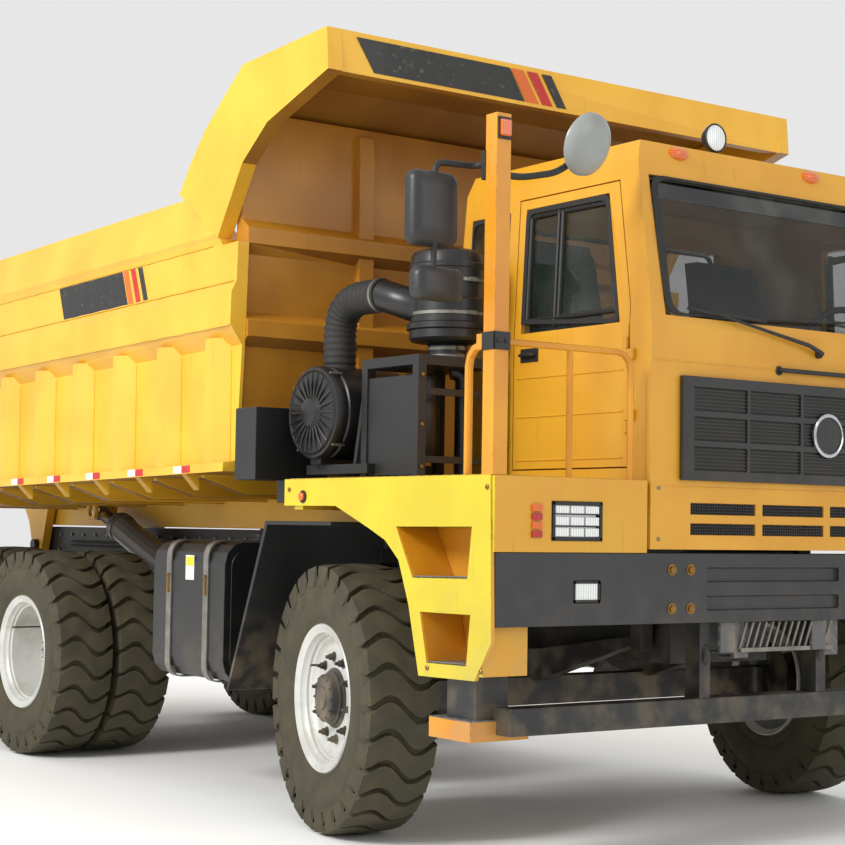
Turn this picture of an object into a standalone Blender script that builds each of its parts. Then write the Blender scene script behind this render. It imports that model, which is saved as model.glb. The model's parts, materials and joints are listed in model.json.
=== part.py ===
"""Wide-body mining dump truck: chassis, cab, body, hoist, steering and wheels.

Metres, +Z up. The truck is laid out with the front axle at Y = 0, +Y to the rear and the
ground at Z = 0; its right side is -X. The last step centres the whole truck over the origin.
"""

import math

import bmesh
import bpy
from mathutils import Matrix, Vector

# Gaps
SEAT = 0.0003  # between two pieces that touch
RUNNING = 0.006  # round a piece that moves

# Wheels and axles
TYRE_RADIUS = 0.675
TYRE_WIDTH = 0.38
BEAD_RADIUS = 0.33
FLANGE_RADIUS = 0.37
FLANGE_WIDTH = 0.018
BEAD_HALF = 0.15
FRONT_WHEEL_X = 1.53
REAR_WHEEL_X = 1.54
TWIN_SPACING = 0.42
REAR_AXLES_Y = (3.76, 5.26)
STUB_RADIUS = 0.06
HUB_RADIUS = 0.145
FRONT_HUB = (FRONT_WHEEL_X - 0.01, FRONT_WHEEL_X + 0.17)
REAR_HUB = (REAR_WHEEL_X - TWIN_SPACING / 2 - 0.33, REAR_WHEEL_X - 0.02)
KINGPIN_X = 1.28
KINGPIN_RADIUS = 0.035
STEER_AT_REST = math.radians(-10.7)
ROUND_SIDES = 16
PIN_SIDES = 24

# Chassis
RAIL_INNER = 0.36
RAIL_OUTER = 0.45
RAIL_BOTTOM = 1.14
RAIL_TOP = 1.50
RAIL_FRONT = -1.2197
RAIL_REAR = 6.32
BED_HINGE = (6.20, 1.35)
BED_PIN_RADIUS = 0.045
HOIST_X = 0.65
HOIST_BASE = (2.60, 0.85)
HOIST_EYE = (4.787, 1.62)
HOIST_EAR_GAP = 0.062  # from the rod's middle to each ear
HOIST_EAR_THICKNESS = 0.03
LUG_SPAN = (0.47, 0.54)
HOIST_PIN_RADIUS = 0.04
HOIST_ROD_RADIUS = 0.055
HOIST_TUBE_RADIUS = 0.10

# Cab and front end
HALF_WIDTH = 1.76
FRONT_Y = -1.40
CAB_RIGHT = -0.83
CAB_LEFT = 1.51
CAB_REAR = 0.15
CAB_WALL = 0.06
CAB_SKIRT = 1.452
CAB_FLOOR = 1.80
SILL = 2.515
ROOF = 3.42
ROOF_FRONT = -1.25
TUMBLEHOME = 0.04
BUMPER_BOTTOM = 1.105
BUMPER_TOP = 1.435
DECK = 1.774
DECK_REAR = 0.35
STEP_BOX_BOTTOM = 0.885
PANEL = 0.02
POST = 0.08
DOOR_FRONT = -1.24
DOOR_LENGTH = 0.88
DOOR_BOTTOM = 1.84
DOOR_HINGE_BACK = 0.012
DOOR_HINGE_OUT = 0.008
DOOR_BARS = ((2.00, 2.06), (2.40, 2.46))
DOOR_TOP = 3.33
STAND_TOP = 2.40
STAND_Y = (DOOR_FRONT + DOOR_LENGTH + 0.015, 0.16)
DECK_BRACKET_TOP = 1.86

# The side panel beside the front wheel, as (y, z)
ARCH_FRONT = [(-0.859, 0.859), (-0.82, 1.00), (-0.77, 1.18), (-0.684, 1.384), (-0.57, 1.475)]
ARCH_TOP = [(-0.428, 1.531), (-0.133, 1.637), (DECK_REAR, 1.639)]
UPPER_STEP = ((-1.250, 1.545), (-1.221, 1.313), (-0.801, 1.305), (-0.660, 1.540))
LOWER_STEP = ((-1.247, 1.154), (-1.221, 0.927), (-0.922, 0.922), (-0.863, 1.151))

# Body of the truck, drawn level in its own frame and then pitched about its hinge
BED_PITCH = math.radians(1.05)
BED_HALF = 1.695
BED_FRONT = 1.09
BED_TAIL = 7.10
BED_BOTTOM = 1.737
BED_FLOOR = 1.80
BED_SILL = 2.46
BED_CREASE = 3.03
BED_TOP = 3.345
CANOPY_FRONT = 0.075
CANOPY_TOP = 3.995
CANOPY_HEEL = (1.20, BED_CREASE + 0.02)
CANOPY_END = (1.66, BED_TOP + 0.02)
CANOPY_SHOULDER = [(1.168, 3.827), (1.360, 3.692), (1.534, 3.520)]
WALL_TOP = 3.77
RIB_FIRST = 1.586
RIB_PITCH = 0.582
RIB_COUNT = 8

COLOURS = {
    "yellow": ((0.80, 0.52, 0.03), 0.45, 0.0),
    "orange": ((0.72, 0.34, 0.03), 0.45, 0.0),
    "black": ((0.02, 0.02, 0.02), 0.60, 0.0),
    "rubber": ((0.025, 0.025, 0.022), 0.85, 0.0),
    "silver": ((0.70, 0.70, 0.68), 0.35, 0.8),
    "steel": ((0.50, 0.50, 0.50), 0.40, 1.0),
    "glass": ((0.25, 0.30, 0.28), 0.05, 0.0),
    "cloth": ((0.10, 0.10, 0.11), 0.90, 0.0),
}


# --- Tools -------------------------------------------------------------------------------------


def solid_from(bm):
    """A new object that holds this mesh, its faces turned outwards."""
    bmesh.ops.recalc_face_normals(bm, faces=bm.faces)
    mesh = bpy.data.meshes.new("solid")
    bm.to_mesh(mesh)
    bm.free()
    obj = bpy.data.objects.new("solid", mesh)
    bpy.context.scene.collection.objects.link(obj)
    return obj


def loft(rings, round_trip=False):
    """A skin over rings of points; the two ends are capped unless the rings close on themselves."""
    bm = bmesh.new()
    rows = [[bm.verts.new(point) for point in ring] for ring in rings]
    following = rows[1:] + rows[:1] if round_trip else rows[1:]
    for low, high in zip(rows, following):
        for i in range(len(low)):
            j = (i + 1) % len(low)
            bm.faces.new((low[i], low[j], high[j], high[i]))
    if not round_trip:
        bm.faces.new(rows[0][::-1])
        bm.faces.new(rows[-1])
    return solid_from(bm)


def along(axis, depth, point):
    """The 3-D point at this depth along an axis, from the other two coordinates in order."""
    a, b = point
    return {"X": (depth, a, b), "Y": (a, depth, b), "Z": (a, b, depth)}[axis]


def prism(outline, axis, span):
    return loft([[along(axis, depth, point) for point in outline] for depth in span])


def box(x, y, z):
    corners = ((x[0], y[0]), (x[1], y[0]), (x[1], y[1]), (x[0], y[1]))
    return prism(corners, "Z", z)


def swept(path, radius, sides=8):
    """A round bar along a path of points; each ring stays square to the path."""
    points = [Vector(point) for point in path]
    last = len(points) - 1
    side = None
    rings = []
    for i, point in enumerate(points):
        before = (point - points[i - 1]).normalized() if i > 0 else Vector()
        after = (points[i + 1] - point).normalized() if i < last else Vector()
        ahead = (before + after).normalized()
        side = side or ahead.orthogonal()
        side = (side - ahead * side.dot(ahead)).normalized()
        up = ahead.cross(side)
        turns = [2 * math.pi * k / sides for k in range(sides)]
        rings.append([point + radius * (math.cos(t) * side + math.sin(t) * up) for t in turns])
    return loft(rings)


def bent(path, radius, steps=3):
    """The same path with each inner corner turned into an arc."""
    points = [Vector(point) for point in path]
    smooth = [points[0]]
    for a, b, c in zip(points, points[1:], points[2:]):
        back = (a - b).normalized()
        onward = (c - b).normalized()
        half = back.angle(onward) / 2
        centre = b + (back + onward).normalized() * radius / math.sin(half)
        first = (b + back * radius / math.tan(half) - centre).normalized()
        final = (b + onward * radius / math.tan(half) - centre).normalized()
        smooth += [centre + radius * first.slerp(final, k / steps) for k in range(steps + 1)]
    return smooth + [points[-1]]


def rod_x(x, centre, radius, sides=16):
    """A round bar along X; its corners start at the bottom."""
    turns = [2 * math.pi * k / sides for k in range(sides)]
    ring = [(centre[0] + radius * math.sin(t), centre[1] - radius * math.cos(t)) for t in turns]
    return prism(ring, "X", x)


def circle(centre, radius, sides=16):
    turns = [2 * math.pi * k / sides for k in range(sides)]
    return [(centre[0] + radius * math.cos(t), centre[1] + radius * math.sin(t)) for t in turns]


def rod_z(centre, radius, z, sides=16):
    return prism(circle(centre, radius, sides), "Z", z)


def turned(profile, centre, sides=ROUND_SIDES):
    """A ring turned about an axis along X, from a closed profile of (x, radius) points."""
    rings = []
    for k in range(sides):
        t = 2 * math.pi * k / sides
        y, z = math.sin(t), -math.cos(t)
        rings.append([(x, centre[0] + r * y, centre[1] + r * z) for x, r in profile])
    return loft(rings, round_trip=True)



def bore(radius, sides=16):
    """Radius of a many-sided hole in which a round bar of this radius can turn."""
    return (radius + SEAT) / math.cos(math.pi / sides)


def fuse(solids, cuts=(), within=None):
    """One solid: these joined, less the cuts, and then only what lies within the last one."""
    base, others = solids[0], list(solids[1:])
    steps = [("UNION", other) for other in others]
    steps += [("DIFFERENCE", cut) for cut in cuts]
    if within:
        steps.append(("INTERSECT", within))
    for operation, other in steps:
        modifier = base.modifiers.new(operation, "BOOLEAN")
        modifier.operation = operation
        modifier.object = other
    graph = bpy.context.evaluated_depsgraph_get()
    base.data = bpy.data.meshes.new_from_object(base.evaluated_get(graph))
    base.modifiers.clear()
    for _, other in steps:
        bpy.data.objects.remove(other)
    return base


def node(name, colour, solid, origin=(0, 0, 0), parent=None):
    """Names a finished solid, gives it its origin and parent, and its own material."""
    solid.name = name
    solid.data.name = name
    solid.data.transform(Matrix.Translation(-Vector(origin)))
    solid.parent = parent
    solid.location = Vector(origin) - (parent.location if parent else Vector())
    rgb, roughness, metallic = COLOURS[colour]
    material = bpy.data.materials.new(name)
    material.use_nodes = True
    shader = material.node_tree.nodes["Principled BSDF"]
    shader.inputs["Base Color"].default_value = (*rgb, 1)
    shader.inputs["Roughness"].default_value = roughness
    shader.inputs["Metallic"].default_value = metallic
    solid.data.materials.clear()
    solid.data.materials.append(material)
    solid.data.shade_smooth()
    solid.data.set_sharp_from_angle(angle=math.radians(32))
    return solid


def pivot(name, location, rotation=(0, 0, 0)):
    """An empty on a joint's axis, which carries the pieces that turn about it."""
    empty = bpy.data.objects.new(name, None)
    empty.location = location
    empty.rotation_euler = rotation
    bpy.context.scene.collection.objects.link(empty)
    return empty


def ordered(a, b):
    return (min(a, b), max(a, b))


# --- Chassis -----------------------------------------------------------------------------------


def chassis_frame():
    """Two rails, cross members, the body's hinge pin and the hoist's base pin on hangers."""
    hinge_y, hinge_z = BED_HINGE
    outline = (
        (RAIL_FRONT, RAIL_BOTTOM),
        (RAIL_REAR, RAIL_BOTTOM),
        (RAIL_REAR, RAIL_TOP - 0.08),
        (hinge_y, RAIL_TOP),
        (RAIL_FRONT, RAIL_TOP),
    )
    pieces = [prism(outline, "X", (-RAIL_OUTER, -RAIL_INNER))]
    pieces.append(prism(outline, "X", (RAIL_INNER, RAIL_OUTER)))
    for y in (RAIL_FRONT + 0.02, 1.75, 2.30, 3.05, 4.46, 5.80, 6.12):
        member = box((-RAIL_INNER - 0.02, RAIL_INNER + 0.02), (y, y + 0.10), (1.22, 1.44))
        pieces.append(member)
    pieces.append(rod_x((-0.58, 0.58), BED_HINGE, BED_PIN_RADIUS, PIN_SIDES))
    pieces.append(box((-1.15, 1.15), (hinge_y, hinge_y + 0.10), (RAIL_BOTTOM + 0.001, 1.24)))
    base_y, base_z = HOIST_BASE
    pin_reach = HOIST_X + HOIST_TUBE_RADIUS + 0.02
    for side in (-1, 1):
        plate = (
            (base_y - 0.20, RAIL_BOTTOM + 0.10),
            (base_y - 0.07, base_z - 0.07),
            (base_y + 0.07, base_z - 0.07),
            (base_y + 0.20, RAIL_BOTTOM + 0.10),
        )
        inner, outer = RAIL_INNER + 0.02, RAIL_OUTER + 0.02
        pin = ordered(side * (inner + 0.02), side * pin_reach)
        pieces.append(rod_x(pin, HOIST_BASE, HOIST_PIN_RADIUS, PIN_SIDES))
        pieces.append(prism(plate, "X", ordered(side * inner, side * outer)))
    return node("chassis_frame", "black", fuse(pieces))


def powertrain():
    """Radiator, engine and gearbox as plain blocks on the rails, and the first propshaft."""
    half = RAIL_INNER - 0.02
    shaft_end = REAR_AXLES_Y[0] - 0.2903
    pieces = [
        box((-half, half), (-1.02, 0.70), (0.88, 1.70)),
        box((-0.25, 0.25), (0.69, 1.45), (0.92, 1.42)),
        swept([(0, 1.44, 1.10), (0, shaft_end, 0.72)], 0.06),
    ]
    for y in (-0.70, 0.40):
        mount = box((-RAIL_INNER + SEAT, RAIL_INNER - SEAT), (y, y + 0.16), (1.22, 1.34))
        pieces.append(mount)
    return node("powertrain", "black", fuse(pieces))


def front_axle():
    """The steered axle's beam, with eyes for the kingpins, on two leaf packs and their hangers."""
    top, bottom, eye = TYRE_RADIUS + 0.075, TYRE_RADIUS - 0.075, 0.08
    pieces = [box((-KINGPIN_X, KINGPIN_X), (-0.06, 0.06), (bottom, top))]
    cuts = []
    for side in (-1, 1):
        centre = (side * KINGPIN_X, 0)
        pieces.append(rod_z(centre, eye, (bottom, top)))
        cuts.append(rod_z(centre, bore(KINGPIN_RADIUS, 12), (bottom - 0.1, top + 0.1), 12))
        pack = (
            (-0.90, 0.98),
            (-0.45, 0.84),
            (-0.10, top - 0.02),
            (0.10, top - 0.02),
            (0.45, 0.84),
            (0.90, 0.98),
            (0.90, 1.02),
            (0.10, 0.90),
            (-0.10, 0.90),
            (-0.90, 1.02),
        )
        across = ordered(side * (RAIL_INNER + 0.005), side * (RAIL_OUTER - 0.005))
        pieces.append(prism(pack, "X", across))
        for y in (-0.92, 0.84):
            pieces.append(box(across, (y, y + 0.08), (0.94, RAIL_BOTTOM - SEAT)))
    return node("front_axle", "black", fuse(pieces, cuts))


def rear_axle(name, y):
    """A driven axle: the housing with its differential, and a stub in each wheel's hub."""
    reach = REAR_HUB[1]
    shoulder = REAR_HUB[0] - SEAT
    rings = []
    for x, radius in ((-0.26, 0.13), (-0.14, 0.26), (0.0, 0.29), (0.14, 0.26), (0.26, 0.13)):
        turns = [2 * math.pi * k / 16 for k in range(16)]
        rings.append(
            [(x, y + radius * math.sin(t), TYRE_RADIUS + radius * math.cos(t)) for t in turns]
        )
    pieces = [
        loft(rings),
        rod_x((-shoulder, shoulder), (y, TYRE_RADIUS), 0.12),
        rod_x((-reach, reach), (y, TYRE_RADIUS), STUB_RADIUS, ROUND_SIDES),
    ]
    return node(name, "black", fuse(pieces))


def bogie_springs():
    """A leaf pack on each side from one driven axle to the other, on a trunnion tube."""
    first, second = REAR_AXLES_Y
    middle = (first + second) / 2
    seat = TYRE_RADIUS + 0.12 + SEAT
    pieces = [rod_x((-0.80, 0.80), (middle, 0.98), 0.07)]
    for side in (-1, 1):
        pack = (
            (first - 0.10, seat),
            (first + 0.10, seat),
            (middle - 0.12, 0.90),
            (middle + 0.12, 0.90),
            (second - 0.10, seat),
            (second + 0.10, seat),
            (second + 0.10, seat + 0.06),
            (middle + 0.12, 1.08),
            (middle - 0.12, 1.08),
            (first - 0.10, seat + 0.06),
        )
        pieces.append(prism(pack, "X", ordered(side * 0.62, side * 0.76)))
        hanger = ordered(side * (RAIL_INNER + 0.01), side * (RAIL_OUTER - 0.01))
        pieces.append(box(hanger, (middle - 0.12, middle + 0.12), (0.93, RAIL_BOTTOM - SEAT)))
    return node("bogie_springs", "black", fuse(pieces))


def wheel_places():
    """(name, side, y) of each wheel position on the driven axles."""
    for row, y in enumerate(REAR_AXLES_Y, 1):
        for side, word in ((-1, "right"), (1, "left")):
            yield f"rear{row}_{word}", side, y


def tyre_profile(middle, side):
    half = TYRE_WIDTH / 2
    right = [
        (BEAD_HALF, BEAD_RADIUS),
        (BEAD_HALF, FLANGE_RADIUS + 0.002),
        (half, 0.50),
        (half - 0.012, TYRE_RADIUS - 0.035),
        (half - 0.05, TYRE_RADIUS),
    ]
    loop = right + [(-a, r) for a, r in reversed(right)]
    return [(side * middle + a, r) for a, r in loop]


def rim_profile(inner, outer, disc, hub, side):
    """A wheel's closed profile: barrel from inner to outer, disc at x = disc, hub between ends."""
    seat = BEAD_RADIUS - SEAT
    hollow = BEAD_RADIUS - 0.04
    lip = outer - FLANGE_WIDTH
    hole = bore(STUB_RADIUS, ROUND_SIDES)
    points = [
        (inner, hollow),
        (inner, seat),
        (lip, seat),
        (lip, FLANGE_RADIUS),
        (outer, FLANGE_RADIUS),
        (outer, hollow + 0.02),
        (disc + 0.015, hollow),
        (disc + 0.015, HUB_RADIUS),
        (hub[1], HUB_RADIUS - 0.02),
        (hub[1], hole),
        (hub[0], hole),
        (hub[0], HUB_RADIUS - 0.02),
        (disc - 0.015, HUB_RADIUS),
        (disc - 0.015, hollow),
    ]
    return [(side * x, r) for x, r in points]


def wheels(steered):
    """Sixteen pieces: four tyres and a double rim's worth on each axle, and the steered pair."""
    bead = BEAD_HALF + SEAT
    lip = bead + FLANGE_WIDTH
    for side, word in ((-1, "right"), (1, "left")):
        centre = (side * FRONT_WHEEL_X, 0, TYRE_RADIUS)
        parent = steered[side]
        tyre = turned(tyre_profile(FRONT_WHEEL_X, side), centre[1:])
        node(f"tyre_front_{word}", "rubber", tyre, centre, parent)
        inner, outer = FRONT_WHEEL_X - lip, FRONT_WHEEL_X + lip
        profile = rim_profile(inner, outer, FRONT_WHEEL_X + 0.075, FRONT_HUB, side)
        node(f"rim_front_{word}", "silver", turned(profile, centre[1:]), centre, parent)
    for name, side, y in wheel_places():
        centre = (side * REAR_WHEEL_X, y, TYRE_RADIUS)
        inner_x = REAR_WHEEL_X - TWIN_SPACING
        for which, x in (("outer", REAR_WHEEL_X), ("inner", inner_x)):
            tyre = turned(tyre_profile(x, side), centre[1:])
            node(f"tyre_{name}_{which}", "rubber", tyre, centre)
        middle = (REAR_WHEEL_X + inner_x) / 2
        ends = (inner_x - lip, REAR_WHEEL_X + lip)
        profile = rim_profile(*ends, middle + 0.02, REAR_HUB, side)
        node(f"rim_{name}", "silver", turned(profile, centre[1:]), centre)


def knuckles():
    """Each knuckle turns on its kingpin and carries a stub in the wheel's hub."""
    steered = {}
    for side, word in ((-1, "right"), (1, "left")):
        x = side * KINGPIN_X
        steered[side] = pivot(f"steer_{word}", (x, 0, 0), (0, 0, STEER_AT_REST))
        plate = ordered(side * (KINGPIN_X + 0.088), side * (KINGPIN_X + 0.11))
        stub = ordered(side * (KINGPIN_X + 0.10), side * (FRONT_WHEEL_X + 0.165))
        collar = ordered(side * (KINGPIN_X + 0.10), side * (FRONT_HUB[0] - SEAT))
        pieces = [
            rod_x(plate, (0, TYRE_RADIUS), 0.22),
            rod_x(stub, (0, TYRE_RADIUS), STUB_RADIUS, ROUND_SIDES),
            rod_x(collar, (0, TYRE_RADIUS), 0.10, ROUND_SIDES),
            rod_z((x, 0), KINGPIN_RADIUS, (TYRE_RADIUS - 0.18, TYRE_RADIUS + 0.19), 12),
        ]
        for low, high in ((-0.175, -0.085), (0.085, 0.185)):
            z = (TYRE_RADIUS + low, TYRE_RADIUS + high)
            pieces.append(rod_z((x, 0), 0.07, z))
            arm = (z[0] + 0.004, z[1] - 0.004)
            pieces.append(box(ordered(x, side * (KINGPIN_X + 0.10)), (-0.06, 0.06), arm))
        node(f"knuckle_{word}", "black", fuse(pieces), (x, 0, TYRE_RADIUS), steered[side])
    return steered


# --- Front end ---------------------------------------------------------------------------------


def front_bumper():
    """A deep steel bumper across the nose with lamp recesses and two pressed grooves."""
    half = HALF_WIDTH - PANEL - 0.002
    height = (BUMPER_BOTTOM, BUMPER_TOP)
    face = box((-half, half), (FRONT_Y, FRONT_Y + 0.06), height)
    core = box((-HALF_WIDTH + 0.32, HALF_WIDTH - 0.32), (FRONT_Y + 0.05, RAIL_FRONT - SEAT), height)
    cuts = []
    for z in (1.165, 1.30):
        cuts.append(box((-0.46, 0.46), (FRONT_Y - 0.1, FRONT_Y + 0.02), (z, z + 0.065)))
    for side in (-1, 1):
        lamp = ordered(side * 1.13, side * 1.293)
        cuts.append(box(lamp, (FRONT_Y - 0.1, FRONT_Y + 0.03), (1.206, 1.309)))
    return node("front_bumper", "black", fuse([face, core], cuts))


def underrun_bar():
    """The bar below the nose, its hangers from the rails, and the lowest step at each side."""
    bar_half = HALF_WIDTH - 0.16
    pieces = [box((-bar_half, bar_half), (-1.34, -1.22), (0.617, 0.74))]
    for side in (-1, 1):
        hanger = ordered(side * (RAIL_INNER + 0.01), side * (RAIL_OUTER - 0.01))
        foot = BUMPER_BOTTOM - SEAT
        pieces.append(box(hanger, (-1.33, -1.23), (0.70, foot)))
        step = ordered(side * (HALF_WIDTH - 0.34), side * (HALF_WIDTH - PANEL))
        pieces.append(box(step, (-1.236, -0.927), (0.591, 0.679)))
        riser = ordered(side * (HALF_WIDTH - 0.24), side * (HALF_WIDTH - 0.06))
        pieces.append(box(riser, (-1.22, -1.00), (0.66, STEP_BOX_BOTTOM - SEAT)))
    return node("underrun_bar", "orange", fuse(pieces))


def panel_outline():
    """The side panel's edge as (y, z): up the wheel arch, then round the nose."""
    nose = [(DECK_REAR, DECK), (FRONT_Y + PANEL, DECK), (FRONT_Y, 1.04), (-1.283, 0.865)]
    return ARCH_FRONT + ARCH_TOP + nose


def step_box_outline():
    """The closed box behind the two steps, which keeps a hand's breadth inside the arch."""
    arch = [(y - 0.02, z + 0.02) for y, z in ARCH_FRONT]
    arch[0] = (arch[0][0], STEP_BOX_BOTTOM)
    top, front = DECK - 0.01, FRONT_Y + 0.07
    return arch + [(arch[-1][0], top), (front, top), (front, STEP_BOX_BOTTOM)]


def fender(name, side, inner):
    """Side panel with its arch and two step pockets, deck, nose panel and arms to the rail."""
    outer = side * HALF_WIDTH
    skin = side * (HALF_WIDTH - PANEL)
    back = side * max(inner + 0.02, HALF_WIDTH - 0.26)
    deck_edge = side * inner
    pieces = [prism(panel_outline(), "X", ordered(skin, outer))]
    pieces.append(prism(step_box_outline(), "X", ordered(back, side * (HALF_WIDTH - 0.01))))
    deck = (FRONT_Y + 0.01, DECK_REAR - 0.002)
    pieces.append(box(ordered(deck_edge, side * (HALF_WIDTH - 0.01)), deck, (DECK - 0.03, DECK)))
    nose = (FRONT_Y, FRONT_Y + 0.03)
    top = DECK - 0.002
    across = ordered(deck_edge, side * (HALF_WIDTH - 0.01))
    pieces.append(box(across, nose, (BUMPER_TOP + SEAT, top)))
    for y in (-1.18, 0.20):
        reach = ordered(side * (RAIL_INNER + 0.01), side * (HALF_WIDTH - 0.02))
        pieces.append(box(reach, (y, y + 0.08), (1.62, 1.70)))
        foot = ordered(side * (RAIL_INNER + 0.01), side * (RAIL_OUTER - 0.01))
        pieces.append(box(foot, (y, y + 0.08), (RAIL_TOP + SEAT, 1.66)))
        riser = ordered(side * (HALF_WIDTH - 0.20), side * (HALF_WIDTH - 0.13))
        pieces.append(box(riser, (y, y + 0.08), (1.66, DECK - 0.015)))
    beyond = ordered(side * (HALF_WIDTH + 0.02), side * (abs(back) + 0.02))
    cuts = [
        prism(UPPER_STEP, "X", beyond),
        prism(LOWER_STEP, "X", beyond),
    ]
    if inner < 1.4:
        lamp = ordered(side * 1.126, side * 1.427)
        cuts.append(box(lamp, (FRONT_Y - 0.1, FRONT_Y + 0.015), (1.486, 1.666)))
    return node(name, "yellow", fuse(pieces, cuts))


def handrail_right():
    """Square corner post, the rail across the deck's front edge and the loop beside the steps."""
    front = FRONT_Y + 0.035
    post_x = (-HALF_WIDTH, -HALF_WIDTH + POST)
    post_y = (FRONT_Y + 0.005, FRONT_Y + 0.005 + POST)
    foot = DECK + SEAT
    rail_z = 2.365
    rail_end = CAB_RIGHT - 0.10
    beside_post = -HALF_WIDTH + 0.06
    rail = [(beside_post, front, rail_z), (rail_end, front, rail_z), (rail_end, front, foot)]
    middle_x = (beside_post + rail_end) / 2 + 0.015
    middle = [(middle_x, front, foot), (middle_x, front, rail_z)]
    loop_x = -HALF_WIDTH + 0.04
    loop_top = [(loop_x, post_y[1] - 0.03, 2.355), (loop_x, -1.16, 2.355), (loop_x, -1.16, foot)]
    pieces = [
        box(post_x, post_y, (foot, 3.38)),
        swept(bent(rail, 0.08), 0.016),
        swept(middle, 0.015),
        swept(bent(loop_top, 0.09), 0.02),
        box((-HALF_WIDTH - 0.004, -HALF_WIDTH + 0.06), (-1.36, -1.27), (2.33, 2.40)),
    ]
    return node("handrail_right", "orange", fuse(pieces))


def mirrors_right():
    """Clamp on the post, arm to the two rear-view mirrors and tube to the round front mirror."""
    post_rear = FRONT_Y + 0.005 + POST + SEAT
    x = -HALF_WIDTH + POST / 2
    arm = [(x, post_rear + 0.015, 3.17), (x, -1.20, 3.17), (-1.93, -1.17, 3.17)]
    drop = [(-1.93, -1.17, 3.17), (-1.93, -1.17, 2.60)]
    tube = [(x, post_rear + 0.02, 3.14), (-1.25, -1.22, 3.19), (-1.15, -1.28, 3.30)]
    disc_middle = Vector((-1.15, -1.30, 3.33))
    facing = Vector((0.15, -1.0, -0.35)).normalized() * 0.02
    pieces = [
        box((-HALF_WIDTH, -HALF_WIDTH + POST), (post_rear, post_rear + 0.03), (3.09, 3.22)),
        swept(arm, 0.016),
        swept(drop, 0.014),
        box((-2.06, -1.80), (-1.20, -1.12), (2.79, 3.13)),
        box((-2.03, -1.76), (-1.20, -1.13), (2.55, 2.70)),
        swept(tube, 0.016),
        swept([disc_middle - facing, disc_middle + facing], 0.15, 20),
    ]
    return node("mirrors_right", "black", fuse(pieces))


def mirrors_left():
    """Two arms from the windscreen pillar's foot and roof to the left rear-view mirrors."""
    x = CAB_LEFT
    y = FRONT_Y - SEAT
    pieces = [
        box((x - 0.10, x - 0.03), (y - 0.03, y), (2.36, 2.46)),
        swept([(x - 0.065, y - 0.015, 2.41), (1.93, y - 0.015, 2.50)], 0.014),
        swept([(1.93, y - 0.015, 2.49), (1.93, y - 0.015, 3.10)], 0.014),
        box((1.80, 2.06), (y - 0.055, y + 0.02), (2.79, 3.13)),
        box((1.76, 2.03), (y - 0.05, y + 0.02), (2.55, 2.70)),
    ]
    return node("mirrors_left", "black", fuse(pieces))


# --- Cab ---------------------------------------------------------------------------------------


def cab_block(inset):
    """The cab's solid block, drawn in by `inset` on every side: upright below the sill, then
    leaning back at the windscreen and in at the sides up to the roof."""
    right, left = CAB_RIGHT + inset, CAB_LEFT - inset
    rear = CAB_REAR - inset

    def ring(z, lean, front):
        return [
            (right + lean, front + inset, z),
            (left - lean, front + inset, z),
            (left - lean, rear - lean, z),
            (right + lean, rear - lean, z),
        ]

    roof_edge = ROOF - inset
    rings = [
        ring(CAB_FLOOR - 0.05 + inset, 0, FRONT_Y),
        ring(SILL, 0, FRONT_Y),
        ring(roof_edge - 0.10, TUMBLEHOME, ROOF_FRONT),
        ring(roof_edge, TUMBLEHOME + 0.03, ROOF_FRONT + 0.02),
    ]
    return loft(rings)


def door_outline(grow):
    """The door's edge seen from the side, grown by `grow`; its front edge follows the pillar."""
    front, rear = DOOR_FRONT - grow, DOOR_FRONT + DOOR_LENGTH + grow
    bottom, top = DOOR_BOTTOM - grow, DOOR_TOP - 0.10 + grow
    lean = ROOF_FRONT - FRONT_Y
    return (
        (front, bottom),
        (rear, bottom),
        (rear, top),
        (front + lean * 0.8, top),
        (front, SILL + 0.10),
    )


def door_window(grow):
    front, rear = DOOR_FRONT + 0.07 - grow, DOOR_FRONT + DOOR_LENGTH - 0.05 + grow
    bottom, top = SILL + 0.02 - grow, DOOR_TOP - 0.15 + grow
    lean = ROOF_FRONT - FRONT_Y
    return ((front, bottom), (rear, bottom), (rear, top), (front + lean * 0.8, top))


def side_span(side, reach=0.30):
    """X from well outside the cab's side wall to just inside it."""
    wall = CAB_RIGHT if side < 0 else CAB_LEFT
    return ordered(wall + side * 0.1, wall - side * reach)


def doorway_span(side):
    """X through the side wall only, short of the hinge brackets outside it."""
    wall = CAB_RIGHT if side < 0 else CAB_LEFT
    return ordered(wall + side * 0.0005, wall - side * 0.30)


def hinge_brackets():
    """Short arms outside the pillar that carry each door's hinge between its two bars."""
    solids = []
    for side in (-1, 1):
        wall = CAB_RIGHT if side < 0 else CAB_LEFT
        across = ordered(wall + side * 0.0015, wall + side * 0.020)
        reach = (DOOR_FRONT - 0.05, DOOR_FRONT + DOOR_HINGE_BACK)
        for z in ((DOOR_BARS[0][1] + SEAT, 2.11), (2.35, DOOR_BARS[1][0] - SEAT)):
            solids.append(box(across, reach, z))
            foot = ordered(wall - side * 0.01, wall + side * 0.015)
            solids.append(box(foot, (reach[0] + 0.003, DOOR_FRONT - 0.012), (z[0], z[1])))
    return solids


def window_in_front(grow, depth):
    """A slab through the windscreen's opening, leaning back with the glass."""
    lean = (ROOF_FRONT - FRONT_Y) / (ROOF - 0.10 - SILL)
    low, high = SILL + 0.045 - grow, ROOF - 0.17 + grow
    across = (CAB_RIGHT + 0.095 - grow, CAB_LEFT - 0.095 + grow)

    def ring(z):
        y = FRONT_Y + lean * (z - SILL)
        return [
            (across[0], y + depth[0], z),
            (across[1], y + depth[0], z),
            (across[1], y + depth[1], z),
            (across[0], y + depth[1], z),
        ]

    return loft([ring(low), ring(high)])


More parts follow.
